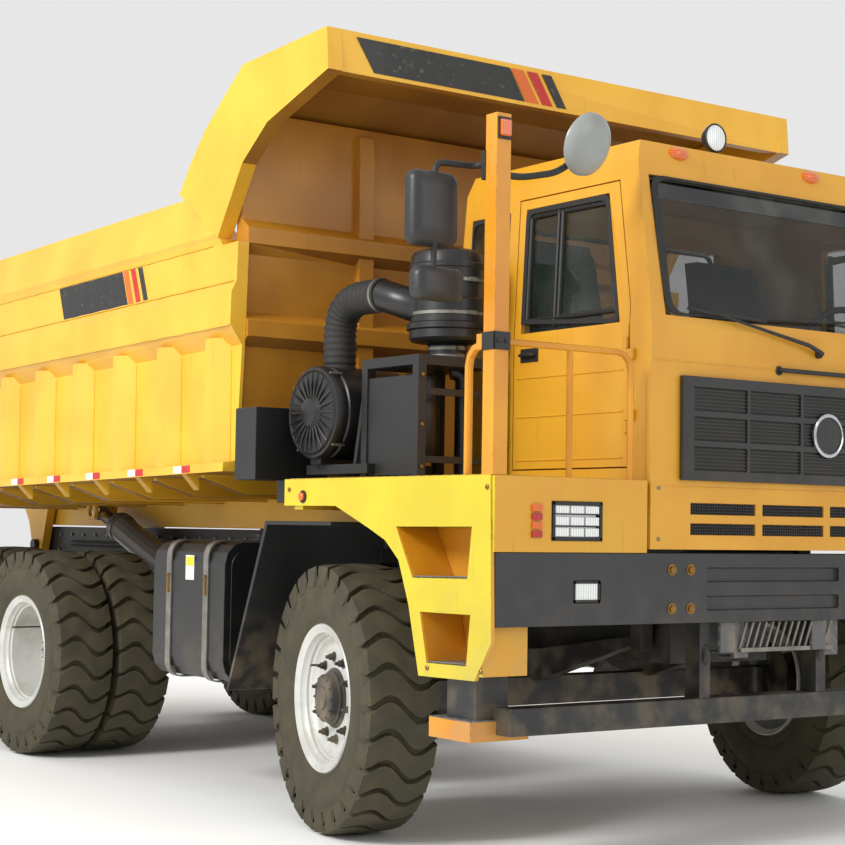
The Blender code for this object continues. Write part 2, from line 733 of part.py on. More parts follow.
def rear_opening(grow, depth):
    """A slab through the rear wall's window, leaning with the wall."""
    lean = -TUMBLEHOME / (ROOF - 0.10 - SILL)
    middle = (CAB_RIGHT + CAB_LEFT) / 2

    def ring(z):
        y = CAB_REAR + lean * (z - SILL)
        return [
            (middle - 0.72 - grow, y + depth[0], z),
            (middle + 0.72 + grow, y + depth[0], z),
            (middle + 0.72 + grow, y + depth[1], z),
            (middle - 0.72 - grow, y + depth[1], z),
        ]

    return loft([ring(2.62 - grow), ring(3.18 + grow)])


def cab_shell():
    """Hollow cab with its skirt and mounts; windscreen, rear window and doorways cut right
    through, with a shallow recess for the dark quarter panes and the pressed vents."""
    middle = (CAB_RIGHT + CAB_LEFT) / 2
    skirt = box((CAB_RIGHT, CAB_LEFT), (FRONT_Y, FRONT_Y + CAB_WALL), (CAB_SKIRT, SILL - 0.3))
    hollow = cab_block(CAB_WALL)
    pieces = [fuse([cab_block(0)], [hollow]), skirt]
    for side in (-1, 1):
        for y in (-1.00, 0.02):
            mount = ordered(side * (RAIL_INNER + 0.01), side * (RAIL_OUTER - 0.01))
            pieces.append(box(mount, (y, y + 0.10), (RAIL_TOP + SEAT, CAB_FLOOR - 0.02)))
    cuts = [window_in_front(0, (-0.1, 0.2)), rear_opening(0, (-0.2, 0.1))]
    pieces += hinge_brackets()
    for side in (-1, 1):
        cuts.append(prism(door_outline(RUNNING), "X", doorway_span(side)))
        wall = CAB_RIGHT if side < 0 else CAB_LEFT
        pane = (DOOR_FRONT + DOOR_LENGTH + 0.08, CAB_REAR - 0.10)
        across = ordered(wall + side * 0.1, wall - side * (TUMBLEHOME + 0.012))
        cuts.append(box(across, pane, (SILL + 0.02, DOOR_TOP - 0.15)))
    for column in (-0.914, -0.43, 0.054, 0.538):
        for z in (1.521, 1.618):
            x = (middle + column, middle + column + 0.436)
            cuts.append(box(x, (FRONT_Y - 0.1, FRONT_Y + 0.012), (z, z + 0.056)))
    return node("cab_shell", "yellow", fuse(pieces, cuts))


def cab_glass():
    """The windscreen and the rear window, set into their openings half way through the wall."""
    pane = (0.024, 0.030)
    node("windscreen", "glass", window_in_front(-SEAT, pane))
    node("rear_window", "glass", rear_opening(-SEAT, (-0.036, -0.030)))


def doors():
    """Each door is the cab wall inside the doorway, hinged at its front edge, with its glass."""
    for side, word in ((-1, "right"), (1, "left")):
        wall = CAB_RIGHT if side < 0 else CAB_LEFT
        hinge_y = DOOR_FRONT + DOOR_HINGE_BACK
        hinge = pivot(f"door_hinge_{word}", (wall + side * DOOR_HINGE_OUT, hinge_y, 0))
        opening = prism(door_outline(0), "X", side_span(side))
        glass_cut = prism(door_window(0), "X", side_span(side, 0.4))
        shell = fuse([cab_block(0)], [cab_block(CAB_WALL)])
        panel = fuse([shell], [glass_cut], opening)
        bars = [rod_z(hinge.location, 0.012, z, 8) for z in DOOR_BARS]
        foot = (hinge.location.x, hinge_y, DOOR_BOTTOM)
        node(f"door_{word}", "yellow", fuse([panel] + bars), foot, hinge)
        slab = fuse([cab_block(0.026)], [cab_block(0.032)])
        pane = fuse([slab], (), prism(door_window(-SEAT), "X", side_span(side)))
        node(f"door_glass_{word}", "glass", pane, foot, hinge)


def cab_interior():
    """Floor box, two seats, dashboard, steering column and wheel, on the cab's floor."""
    floor = CAB_FLOOR + 0.01 + SEAT
    pieces = [box((-0.62, 1.30), (-0.60, -0.02), (floor, floor + 0.14))]
    for x in (-0.30, 0.98):
        cushion = (floor + 0.12, floor + 0.62)
        pieces.append(box((x - 0.24, x + 0.24), (-0.58, -0.08), cushion))
        back = ((-0.20, floor + 0.55), (-0.06, floor + 0.55), (0.04, 3.10), (-0.06, 3.10))
        pieces.append(prism(back, "X", (x - 0.23, x + 0.23)))
    board = (
        (-1.20, floor),
        (-1.05, floor),
        (-1.00, 2.30),
        (-0.98, 2.50),
        (-1.15, 2.56),
        (-1.28, 2.48),
    )
    pieces.append(prism(board, "X", (-0.72, 1.40)))
    pieces.append(box((0.24, 0.44), (-1.10, -0.30), (floor, floor + 0.12)))
    column = [(0.98, -1.06, 2.42), (0.98, -0.84, 2.58)]
    pieces.append(swept(column, 0.035))
    along_column = (Vector(column[1]) - Vector(column[0])).normalized()
    hub = Vector(column[1])
    across = Vector((1, 0, 0))
    up = along_column.cross(across)
    rim = []
    for k in range(16):
        t = 2 * math.pi * k / 16
        out = math.cos(t) * across + math.sin(t) * up
        centre = hub + 0.22 * out
        turns = [2 * math.pi * m / 6 for m in range(6)]
        rim.append([centre + 0.017 * (math.cos(a) * out + math.sin(a) * along_column) for a in turns])
    pieces.append(loft(rim, round_trip=True))
    pieces.append(swept([hub - 0.22 * across, hub + 0.22 * across], 0.014, 6))
    return node("cab_interior", "cloth", fuse(pieces))


def grille():
    """The dark front grille with its three rows of openings."""
    middle = (CAB_RIGHT + CAB_LEFT) / 2
    half, bottom, top = 0.99, 1.78, 2.276
    body = box((middle - half, middle + half), (FRONT_Y - 0.03, FRONT_Y - SEAT), (bottom, top))
    cuts = []
    for row in range(3):
        z = bottom + 0.05 + row * 0.142
        for column in range(5):
            x = middle - half + 0.07 + column * 0.374
            cuts.append(box((x, x + 0.354), (FRONT_Y - 0.1, FRONT_Y - 0.015), (z, z + 0.11)))
    return node("grille", "black", fuse([body], cuts))


# --- On the deck and along the rails -----------------------------------------------------------


def air_cleaner():
    """The upright intake canister: a barrel on a thinner neck, down to the stand's top."""
    centre = (-1.10, -0.15)
    cover = [(0.20, 2.92), (0.19, 2.95), (0.10, 2.975)]
    rings = [[(x, y, z) for x, y in circle(centre, radius)] for radius, z in cover]
    pieces = [
        rod_z(centre, 0.20, (2.50, 2.93)),
        rod_z(centre, 0.215, (2.55, 2.58)),
        loft(rings),
        rod_z(centre, 0.10, (STAND_TOP + SEAT, 2.51)),
    ]
    return node("air_cleaner", "black", fuse(pieces))


def intake_drum():
    """The lying filter drum beside the stand and the big elbow hose that leaves its top."""
    centre = (0.47, 2.135)
    hose = [(-1.36, 0.47, 2.20), (-1.36, 0.47, 2.74), (-1.33, 0.10, 2.74)]
    pieces = [
        rod_x((-1.53, -1.02), centre, 0.25, 20),
        rod_x((-1.56, -1.52), centre, 0.10),
        swept(bent(hose, 0.18, 4), 0.09, 12),
        box((-1.50, -1.06), (0.42, 0.52), (DECK_BRACKET_TOP + SEAT, 1.95)),
    ]
    return node("intake_drum", "black", fuse(pieces))


def cleaner_stand():
    """Black frame on the deck: four posts with a tray on top, a back panel and a bracket that
    runs back under the drum."""
    x, y = (-1.42, -0.92), STAND_Y
    foot = DECK + SEAT
    bar = 0.05
    pieces = [box(x, y, (STAND_TOP - 0.05, STAND_TOP))]
    for px in (x[0], x[1] - bar):
        for py in (y[0], y[1] - bar):
            pieces.append(box((px, px + bar), (py, py + bar), (foot, STAND_TOP - 0.02)))
    pieces.append(box((x[0] + 0.01, x[0] + 0.04), (y[0] + 0.01, y[1] - 0.01), (1.80, 2.30)))
    brace = [(-1.40, y[1] - 0.03, STAND_TOP - 0.06), (-1.40, 0.24, 1.81)]
    pieces.append(swept(brace, 0.018, 6))
    bracket = (DECK_BRACKET_TOP - 0.05, DECK_BRACKET_TOP)
    pieces.append(box((-1.46, -1.05), (y[1] - 0.12, 0.62), bracket))
    return node("cleaner_stand", "black", fuse(pieces))


def hydraulic_tank():
    """The hoist's oil tank behind the deck, on a bracket from the rail."""
    pieces = [
        box((-1.71, -1.25), (0.74, 0.96), (1.78, 2.17)),
        box((-1.50, -0.37), (0.78, 0.86), (1.66, 1.80)),
        box((-RAIL_OUTER + 0.01, -0.37), (0.78, 0.86), (RAIL_TOP + SEAT, 1.70)),
    ]
    return node("hydraulic_tank", "black", fuse(pieces))


def side_tank(name, side, y, z, inner, outer, rounding):
    """A tank with rounded corners hung on two arms from the rail."""
    corners = []
    centres = (
        (outer - rounding, z[1] - rounding, 0),
        (inner + rounding, z[1] - rounding, 1),
        (inner + rounding, z[0] + rounding, 2),
        (outer - rounding, z[0] + rounding, 3),
    )
    for x, height, quarter in centres:
        for k in range(4):
            t = math.pi / 2 * (quarter + k / 3)
            corners.append((side * (x + rounding * math.cos(t)), height + rounding * math.sin(t)))
    pieces = [prism(corners, "Y", y)]
    for place in (0.25, 0.75):
        middle = y[0] + place * (y[1] - y[0])
        arm = ordered(side * (RAIL_OUTER + SEAT), side * (inner + 0.02))
        pieces.append(box(arm, (middle - 0.04, middle + 0.04), (1.20, 1.32)))
    return node(name, "black", fuse(pieces))


def mudguard(name, side):
    """Flat over the steered wheel's rear half, then sloping down behind it."""
    thick = 0.02
    outline = (
        (0.0, 1.54),
        (0.62, 1.54),
        (1.0, 0.64),
        (1.0 + thick, 0.64),
        (0.62 + thick, 1.54 + thick),
        (0.0, 1.54 + thick),
    )
    sheet = prism(outline, "X", ordered(side * 0.92, side * 1.70))
    arm = box(ordered(side * (RAIL_OUTER + SEAT), side * 0.94), (0.66, 0.74), (1.34, 1.42))
    return node(name, "black", fuse([sheet, arm]))


def silencer():
    """The exhaust silencer inboard of the fuel tank, on a strap from the rail."""
    pieces = [
        prism(circle((-0.70, 0.80), 0.20), "Y", (1.02, 1.72)),
        box((-0.74, -RAIL_OUTER - SEAT), (1.08, 1.16), (0.92, 1.30)),
    ]
    return node("silencer", "steel", fuse(pieces))


# --- Body, hoist -------------------------------------------------------------------------------


def floor_line(lift):
    """The floor's underside or top as (y, z): level, then kicked up towards the tail."""
    return [(BED_FRONT + 0.07, BED_BOTTOM + lift), (5.95, BED_BOTTOM + lift), (BED_TAIL, 1.93 + lift)]


def beam_bottom(y):
    """Underside of the body's long beams, parallel to the rails when the body is down."""
    gap = 0.012
    rest = RAIL_TOP + gap
    return rest - (BED_HINGE[0] - y) * math.tan(BED_PITCH)


def bed_floor(bed):
    """Floor plate, cross members with tapered ends, long beams over the rails, hinge lugs and
    the brackets for the hoist rods."""
    half = BED_HALF - 0.10
    plate = BED_FLOOR - BED_BOTTOM
    bottom, top = floor_line(0), floor_line(plate)
    pieces = [prism(bottom + top[::-1], "X", (-half, half))]
    for k in range(RIB_COUNT):
        y = RIB_FIRST + k * RIB_PITCH
        member = (
            (-half, BED_BOTTOM + 0.01),
            (-half + 0.02, BED_BOTTOM - 0.02),
            (-half + 0.30, BED_BOTTOM - 0.11),
            (half - 0.30, BED_BOTTOM - 0.11),
            (half - 0.02, BED_BOTTOM - 0.02),
            (half, BED_BOTTOM + 0.01),
        )
        pieces.append(prism(member, "Y", (y - 0.045, y + 0.045)))
    hinge_y, hinge_z = BED_HINGE
    ends = (BED_FRONT + 0.10, 6.55)
    beam = (
        (ends[0], beam_bottom(ends[0])),
        (ends[1], beam_bottom(ends[1])),
        (ends[1] + 0.20, BED_BOTTOM + 0.02),
        (ends[0], BED_BOTTOM + 0.02),
    )
    lug = [(hinge_y + 0.24, BED_BOTTOM + 0.02), (hinge_y - 0.24, BED_BOTTOM + 0.02)]
    for k in range(7):
        t = math.pi + math.pi * k / 6
        lug.append((hinge_y + 0.10 * math.cos(t), hinge_z + 0.10 * math.sin(t)))
    cuts = [rod_x((-0.7, 0.7), BED_HINGE, bore(BED_PIN_RADIUS, PIN_SIDES), PIN_SIDES)]
    eye_y, eye_z = flat_point(HOIST_EYE)
    ear = (
        (eye_y - 0.10, BED_BOTTOM + 0.02),
        (eye_y - 0.06, eye_z - 0.06),
        (eye_y + 0.06, eye_z - 0.06),
        (eye_y + 0.10, BED_BOTTOM + 0.02),
    )
    for side in (-1, 1):
        pieces.append(prism(beam, "X", ordered(side * RAIL_INNER, side * RAIL_OUTER)))
        pieces.append(prism(lug, "X", ordered(side * LUG_SPAN[0], side * LUG_SPAN[1])))
        outer_ear = HOIST_X + HOIST_EAR_GAP
        for inner in (HOIST_X - HOIST_EAR_GAP - HOIST_EAR_THICKNESS, outer_ear):
            ear_span = ordered(side * inner, side * (inner + HOIST_EAR_THICKNESS))
            pieces.append(prism(ear, "X", ear_span))
        pin = ordered(side * LUG_SPAN[1], side * (outer_ear + 2 * HOIST_EAR_THICKNESS))
        cuts.append(rod_x(pin, (eye_y, eye_z), HOIST_PIN_RADIUS))
    return node("bed_floor", "yellow", fuse(pieces, cuts), (0, *BED_HINGE), bed)


def flat_point(point):
    """Where a (y, z) point of the standing truck lies in the body's own level frame."""
    dy, dz = point[0] - BED_HINGE[0], point[1] - BED_HINGE[1]
    cos, sin = math.cos(BED_PITCH), math.sin(BED_PITCH)
    return (BED_HINGE[0] + dy * cos - dz * sin, BED_HINGE[1] + dz * cos + dy * sin)


def bed_side(name, side, bed):
    """A side wall: sill, ribbed lower panel, box beam, upper panel and the top rail."""
    inner = BED_HALF - 0.10 + SEAT
    panel = BED_HALF - 0.08
    upper = BED_HALF - 0.03
    section = (
        (inner, BED_BOTTOM),
        (BED_HALF, BED_BOTTOM),
        (BED_HALF, BED_BOTTOM + 0.05),
        (panel, BED_BOTTOM + 0.06),
        (panel, BED_SILL - 0.02),
        (BED_HALF, BED_SILL + 0.09),
        (BED_HALF, BED_SILL + 0.27),
        (upper, BED_SILL + 0.33),
        (upper, BED_CREASE - 0.01),
        (BED_HALF, BED_CREASE + 0.04),
        (BED_HALF - 0.06, BED_TOP),
        (BED_HALF - 0.17, BED_TOP),
        (BED_HALF - 0.17, BED_CREASE + 0.04),
        (inner, BED_CREASE - 0.019),
    )
    outline = [(side * x, z) for x, z in section]
    pieces = [prism(outline, "Y", (BED_FRONT - 0.07, BED_TAIL))]
    for k in range(RIB_COUNT + 1):
        y = RIB_FIRST + (k - 0.5) * RIB_PITCH
        rib = (
            (side * (panel - 0.01), y - 0.13),
            (side * (BED_HALF - 0.005), y - 0.04),
            (side * (BED_HALF - 0.005), y + 0.04),
            (side * (panel - 0.01), y + 0.13),
        )
        pieces.append(prism(rib, "Z", (BED_BOTTOM + 0.03, BED_SILL + 0.03)))
    for k in range(RIB_COUNT):
        y = RIB_FIRST + k * RIB_PITCH
        gusset = (
            (side * (inner + 0.001), BED_BOTTOM + 0.01),
            (side * (BED_HALF - 0.005), BED_BOTTOM + 0.01),
            (side * (inner + 0.001), BED_BOTTOM - 0.09),
        )
        pieces.append(prism(gusset, "Y", (y - 0.03, y + 0.03)))
    far = BED_TAIL + 0.5
    cuts = []
    across = ordered(side * (inner - 0.3), side * (BED_HALF + 0.3))
    tail_low = ((5.95, BED_BOTTOM), (BED_TAIL + 0.02, 1.935), (far, 1.935), (far, 1.0), (5.95, 1.0))
    cuts.append(prism(tail_low, "X", across))
    tail_top = ((6.55, BED_TOP + 0.2), (6.55, BED_TOP - 0.02), (far, 2.35), (far, BED_TOP + 0.2))
    cuts.append(prism(tail_top, "X", across))
    front = BED_FRONT - 0.07
    nose = (
        (front - 0.1, BED_BOTTOM - 0.2),
        (BED_FRONT + 0.02, BED_BOTTOM - 0.2),
        (BED_FRONT + 0.02, BED_BOTTOM),
        (front + 0.03, BED_SILL),
        (front, BED_CREASE - 0.04),
        (front - 0.1, BED_CREASE - 0.04),
    )
    cuts.append(prism(nose, "X", across))
    above = (
        (front - 0.1, BED_CREASE - 0.02),
        (CANOPY_HEEL[0], BED_CREASE - 0.02),
        CANOPY_HEEL,
        CANOPY_END,
        (front - 0.1, BED_TOP + 0.2),
    )
    cuts.append(prism(above, "X", across))
    return node(name, "yellow", fuse(pieces, cuts), (0, *BED_HINGE), bed)


def bed_front_wall(bed):
    """The wall behind the cab, with two cross ribs and two upright ribs on its front."""
    half = BED_HALF - 0.10
    back = BED_FRONT + 0.07 - SEAT
    pieces = [box((-half, half), (BED_FRONT + 0.01, back), (BED_BOTTOM, WALL_TOP - SEAT))]
    for z in (BED_SILL, BED_CREASE - 0.05):
        rib = (
            (BED_FRONT + 0.02, z - 0.03),
            (BED_FRONT - 0.06, z + 0.03),
            (BED_FRONT - 0.06, z + 0.12),
            (BED_FRONT + 0.02, z + 0.18),
        )
        pieces.append(prism(rib, "X", (-half + 0.002, half - 0.002)))
    for x in (-0.79, 0.79):
        upright = (BED_FRONT - 0.04, BED_FRONT + 0.02)
        pieces.append(box((x - 0.05, x + 0.05), upright, (BED_BOTTOM + 0.04, WALL_TOP - 0.06)))
    return node("bed_front_wall", "yellow", fuse(pieces), (0, *BED_HINGE), bed)


def bed_canopy(bed):
    """The roof over the cab with its front face, and the two curved side plates."""
    lip = CANOPY_FRONT + 0.005
    top = [(lip, CANOPY_TOP), (0.939, CANOPY_TOP - 0.015)]
    end = (CANOPY_END[0], CANOPY_END[1] + SEAT)
    heel = (CANOPY_HEEL[0], CANOPY_HEEL[1] + SEAT)
    under = [(0.935, 3.428), (0.671, 3.606), (CANOPY_FRONT - 0.01, WALL_TOP)]
    plate = top + CANOPY_SHOULDER + [end, heel] + under
    roof = top + [
        (1.16, CANOPY_SHOULDER[0][1] + 0.003),
        (1.16, WALL_TOP),
        (0.92, CANOPY_TOP - 0.075),
        (lip + 0.06, CANOPY_TOP - 0.065),
        (lip + 0.06, WALL_TOP),
        (CANOPY_FRONT, WALL_TOP),
    ]
    inner = BED_HALF - 0.09
    pieces = [prism(roof, "X", (-inner - 0.01, inner + 0.01))]
    for side in (-1, 1):
        pieces.append(prism(plate, "X", ordered(side * inner, side * BED_HALF)))
    return node("bed_canopy", "yellow", fuse(pieces), (0, *BED_HINGE), bed)


def hoist():
    """Two cylinders outboard of the rails: tubes on the chassis pin, rods between the ears."""
    start, end = Vector((0, *HOIST_BASE)), Vector((0, *HOIST_EYE))
    ahead = (end - start).normalized()
    length = (end - start).length
    eye_hole = bore(HOIST_PIN_RADIUS, PIN_SIDES)
    for side, word in ((-1, "right"), (1, "left")):
        shift = Vector((side * HOIST_X, 0, 0))

        def bar(low, high, radius, sides=16):
            return swept([start + shift + ahead * low, start + shift + ahead * high], radius, sides)

        eye_x = (side * HOIST_X - 0.06, side * HOIST_X + 0.06)
        tube = fuse(
            [bar(0.05, length - 0.30, HOIST_TUBE_RADIUS), rod_x(eye_x, HOIST_BASE, 0.07)],
            [
                rod_x((eye_x[0] - 0.1, eye_x[1] + 0.1), HOIST_BASE, eye_hole, PIN_SIDES),
                bar(0.14, length, HOIST_ROD_RADIUS + SEAT),
            ],
        )
        foot = start + shift
        node(f"hoist_tube_{word}", "yellow", tube, foot)
        eye_x = (side * HOIST_X - 0.05, side * HOIST_X + 0.05)
        rod = fuse([bar(0.18, length, HOIST_ROD_RADIUS), rod_x(eye_x, HOIST_EYE, 0.065)])
        node(f"hoist_rod_{word}", "steel", rod, end + shift)


# --- The whole truck ---------------------------------------------------------------------------


def centre_over_origin():
    """Moves the truck along Y so that the middle of its overall length is at Y = 0."""
    bpy.context.view_layer.update()
    solids = [obj for obj in bpy.data.objects if obj.type == "MESH"]
    reach = [(obj.matrix_world @ v.co).y for obj in solids for v in obj.data.vertices]
    shift = -(min(reach) + max(reach)) / 2
    for obj in bpy.data.objects:
        if obj.parent is None:
            obj.location.y += shift
    bpy.context.view_layer.update()


def build_truck():
    chassis_frame()
    powertrain()
    front_axle()
    for row, y in enumerate(REAR_AXLES_Y, 1):
        rear_axle(f"rear_axle_{row}", y)
    bogie_springs()
    wheels(knuckles())
    front_bumper()
    underrun_bar()
    fender("fender_right", -1, 0.85)
    fender("fender_left", 1, 1.53)
    handrail_right()
    mirrors_right()
    mirrors_left()
    cab_shell()
    cab_glass()
    doors()
    cab_interior()
    grille()
    air_cleaner()
    intake_drum()
    cleaner_stand()
    hydraulic_tank()
    side_tank("fuel_tank", -1, (1.15, 1.99), (0.66, 1.44), 0.95, 1.65, 0.12)
    side_tank("air_tank", 1, (1.15, 1.99), (0.66, 1.30), 0.95, 1.60, 0.12)
    mudguard("mudguard_right", -1)
    mudguard("mudguard_left", 1)
    silencer()
    bed = pivot("bed_hinge", (0, *BED_HINGE), (-BED_PITCH, 0, 0))
    bed_floor(bed)
    bed_side("bed_side_right", -1, bed)
    bed_side("bed_side_left", 1, bed)
    bed_front_wall(bed)
    bed_canopy(bed)
    hoist()


for old in list(bpy.data.objects):
    bpy.data.objects.remove(old)
build_truck()
centre_over_origin()
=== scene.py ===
"""The looks of an off-road mining dump truck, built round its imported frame.

Metres. Positions are given from the middle of the front axle on the ground: +X to the truck's
left, +Y to its rear, +Z up. `at` moves such a place into the frame.
"""

import json
import math

import bmesh
import bpy
from mathutils import Matrix, Vector


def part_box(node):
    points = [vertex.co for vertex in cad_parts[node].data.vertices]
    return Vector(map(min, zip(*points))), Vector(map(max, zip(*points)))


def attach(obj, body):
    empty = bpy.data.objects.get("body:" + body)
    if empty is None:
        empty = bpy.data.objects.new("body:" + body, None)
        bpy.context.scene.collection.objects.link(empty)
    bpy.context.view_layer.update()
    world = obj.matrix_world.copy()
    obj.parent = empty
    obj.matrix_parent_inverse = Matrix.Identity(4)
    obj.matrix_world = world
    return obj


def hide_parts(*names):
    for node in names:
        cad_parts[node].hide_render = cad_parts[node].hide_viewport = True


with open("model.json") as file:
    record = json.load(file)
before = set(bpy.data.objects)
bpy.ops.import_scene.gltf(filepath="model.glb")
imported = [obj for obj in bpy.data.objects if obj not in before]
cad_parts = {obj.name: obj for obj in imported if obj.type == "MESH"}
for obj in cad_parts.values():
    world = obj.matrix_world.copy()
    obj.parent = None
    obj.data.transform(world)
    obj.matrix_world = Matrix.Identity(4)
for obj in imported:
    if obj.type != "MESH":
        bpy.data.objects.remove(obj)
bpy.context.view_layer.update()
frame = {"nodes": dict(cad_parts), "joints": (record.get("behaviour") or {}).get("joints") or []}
nodes = frame["nodes"]
steering = next(joint for joint in frame["joints"] if joint["name"] == "steer_right")
axle_y = steering["pos_m"][1]


def at(x, y, z):
    """A place measured from the front axle, in the frame."""
    return Vector((x, y + axle_y, z))


def box_of(name):
    """The corners of a carried-over piece, measured from the front axle."""
    return [corner - Vector((0, axle_y, 0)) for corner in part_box(name)]


# --- Chassis -----------------------------------------------------------------------------------
# Pressed steel rails with bolted cross members, axles and springs in black chassis enamel. Rows
# of zinc-plated bolts, brake chambers clamped on the axles, and air lines clipped to the rails.


class Signal:
    """A socket of a material, so that its maths reads as Python."""

    def __init__(self, finish, socket):
        self.finish, self.socket = finish, socket

    def maths(self, operation, *values):
        settings = {"operation": operation}
        return self.finish.node("ShaderNodeMath", settings, dict(enumerate(values)))

    def __add__(self, other):
        return self.maths("ADD", self, other)

    def __mul__(self, other):
        return self.maths("MULTIPLY", self, other)

    def __rsub__(self, other):
        return self.maths("SUBTRACT", other, self)

    __radd__, __rmul__ = __add__, __mul__

    def clamped(self, low, high):
        """0 below low and 1 above high, with a soft rise between them."""
        settings = {"interpolation_type": "SMOOTHSTEP"}
        return self.finish.node("ShaderNodeMapRange", settings, {0: self, 1: low, 2: high})


def rgb(red, green, blue):
    """A colour as seen, from 0 to 1, as the linear numbers that a shader takes."""
    toe = [c / 12.92 if c < 0.04 else ((c + 0.055) / 1.055) ** 2.4 for c in (red, green, blue)]
    return (*toe, 1)


class Finish:
    """One material: fixed numbers on its shader's sockets, and nodes for what varies."""

    def __init__(self, name, **fixed):
        self.material = bpy.data.materials.new(name)
        self.material.use_nodes = True
        self.tree = self.material.node_tree
        self.shader = self.tree.nodes["Principled BSDF"]
        for socket, value in fixed.items():
            self.shader.inputs[socket.replace("_", " ")].default_value = value
        self.place = self.node("ShaderNodeTexCoord", {}, {}, "Object")

    def node(self, kind, settings, values, output=0):
        made = self.tree.nodes.new(kind)
        for name, value in settings.items():
            setattr(made, name, value)
        for socket, value in values.items():
            if isinstance(value, Signal):
                self.tree.links.new(value.socket, made.inputs[socket])
            else:
                made.inputs[socket].default_value = value
        return Signal(self, made.outputs[output])

    def noise(self, scale, detail=3.0, stretch=(1, 1, 1)):
        where = self.place
        if stretch != (1, 1, 1):
            where = self.node("ShaderNodeMapping", {}, {"Vector": where, "Scale": stretch})
        values = {"Vector": where, "Scale": scale, "Detail": detail}
        return self.node("ShaderNodeTexNoise", {}, values)

    def ribs(self, direction, scale, where=None):
        values = {"Vector": where or self.place, "Scale": scale}
        return self.node("ShaderNodeTexWave", {"bands_direction": direction}, values)

    def dot(self, first, second):
        settings = {"operation": "DOT_PRODUCT"}
        return self.node("ShaderNodeVectorMath", settings, {0: first, 1: second}, "Value")

    def height(self):
        return self.node("ShaderNodeSeparateXYZ", {}, {0: self.place}, 2)

    def facing(self, direction):
        """1 where the surface faces a direction of its own object, 0 where it turns away."""
        normal = self.node("ShaderNodeTexCoord", {}, {}, "Normal")
        return self.dot(normal, direction).clamped(0.45, 0.85)

    def edges(self, radius):
        """1 where the surface bends within this radius, 0 on its flats."""
        flat = self.node("ShaderNodeNewGeometry", {}, {}, "Normal")
        rounded = self.node("ShaderNodeBevel", {"samples": 4}, {"Radius": radius})
        return (1 - self.dot(flat, rounded)).clamped(0.02, 0.22)

    def blend(self, share, first, second):
        """From the first colour to the second; a colour is a signal or three numbers."""
        ends = [value if isinstance(value, Signal) else rgb(*value) for value in (first, second)]
        values = {0: share, 6: ends[0], 7: ends[1]}
        return self.node("ShaderNodeMix", {"data_type": "RGBA"}, values, 2)

    def feed(self, socket, signal):
        self.tree.links.new(signal.socket, self.shader.inputs[socket])

    def colour(self, share, first, second):
        self.feed("Base Color", self.blend(share, first, second))

    def bump(self, signal, depth, strength=1.0):
        values = {"Height": signal, "Distance": depth, "Strength": strength}
        self.feed("Normal", self.node("ShaderNodeBump", {}, values))


DUST = (0.62, 0.55, 0.43)
PRIMER = (0.36, 0.22, 0.12)
GRIME = (0.33, 0.24, 0.13)


def enamel(name, colour, shade, roughness=0.38, dust=0.5, worn=0.5, dust_top=1.6, painted_shade_side=None):
    """Sprayed paint over steel: mottled between two colours, dusty low down, rubbed on edges.
    A painted shade side is a direction and the darker colour painted, as painted shade, on the faces that
    look that way."""
    finish = Finish(name, Coat_Weight=0.15, Coat_Roughness=0.25)
    mottle = finish.noise(2.2, 5).clamped(0.30, 0.72)
    base = finish.blend(mottle, colour, shade)
    # Painted shade: faces that look one way take a darker colour.
    if painted_shade_side:
        base = finish.blend(finish.facing(painted_shade_side[0]) * (mottle * 0.15 + 0.80), base, painted_shade_side[1])
    speckle = finish.noise(46, 4)
    low = 1 - finish.height().clamped(0.3, dust_top)
    dirty = low * finish.noise(7, 6).clamped(0.38, 0.68) * dust
    base = finish.blend(dirty, base, DUST)
    runs = finish.noise(5, 4, (6, 6, 0.35)).clamped(0.60, 0.80) * 0.16
    base = finish.blend(runs, base, GRIME)
    rubbed = finish.edges(0.008) * speckle.clamped(0.50, 0.62) * worn
    finish.colour(rubbed, base, PRIMER)
    finish.feed("Roughness", roughness + dirty * 0.4 + speckle * 0.08)
    finish.bump(finish.noise(160, 2) + finish.noise(9, 2) * 0.6, 0.0008, 0.35)
    return finish


def coat(finish, *names):
    """Gives carried-over pieces their finish."""
    for name in names:
        nodes[name].data.materials.clear()
        nodes[name].data.materials.append(finish.material)


def soften(thing, width):
    """Rounds the folded edges of a piece a little."""
    rounding = thing.modifiers.new("edge", "BEVEL")
    rounding.width = width
    rounding.segments = 2
    rounding.angle_limit = math.radians(38)
    rounding.harden_normals = True


def dress(finish, *names, edge=0.004):
    coat(finish, *names)
    for name in names:
        weld = nodes[name].modifiers.new("weld", "WELD")
        weld.merge_threshold = 0.0001
        soften(nodes[name], edge)


TURN = 2 * math.pi


def skin(rings, round_trip=False, capped=True):
    """A surface over rings of equal length; a round trip joins the last to the first."""
    points = [tuple(point) for ring in rings for point in ring]
    count = len(rings[0])
    rows = [range(k * count, (k + 1) * count) for k in range(len(rings))]
    following = rows[1:] + rows[:1] if round_trip else rows[1:]
    faces = []
    for low, high in zip(rows, following):
        for i in range(count):
            j = (i + 1) % count
            faces.append((low[i], low[j], high[j], high[i]))
    if capped and not round_trip:
        faces += [tuple(rows[0][::-1]), tuple(rows[-1])]
    return points, faces


def circle(radius, sides):
    turns = [TURN * k / sides for k in range(sides)]
    return [(radius * math.cos(t), radius * math.sin(t)) for t in turns]


def tube(path, radius, sides=12):
    """A round bar along points; radius may be one number or one for each point."""
    points = [at(*point) for point in path]
    radii = radius if isinstance(radius, (list, tuple)) else [radius] * len(points)
    side, rings = None, []
    for i, point in enumerate(points):
        ahead = (points[min(i + 1, len(points) - 1)] - points[max(i - 1, 0)]).normalized()
        side = side or ahead.orthogonal()
        side = (side - ahead * side.dot(ahead)).normalized()
        up = ahead.cross(side)
        rings.append([point + a * side + b * up for a, b in circle(radii[i], sides)])
    return skin(rings)


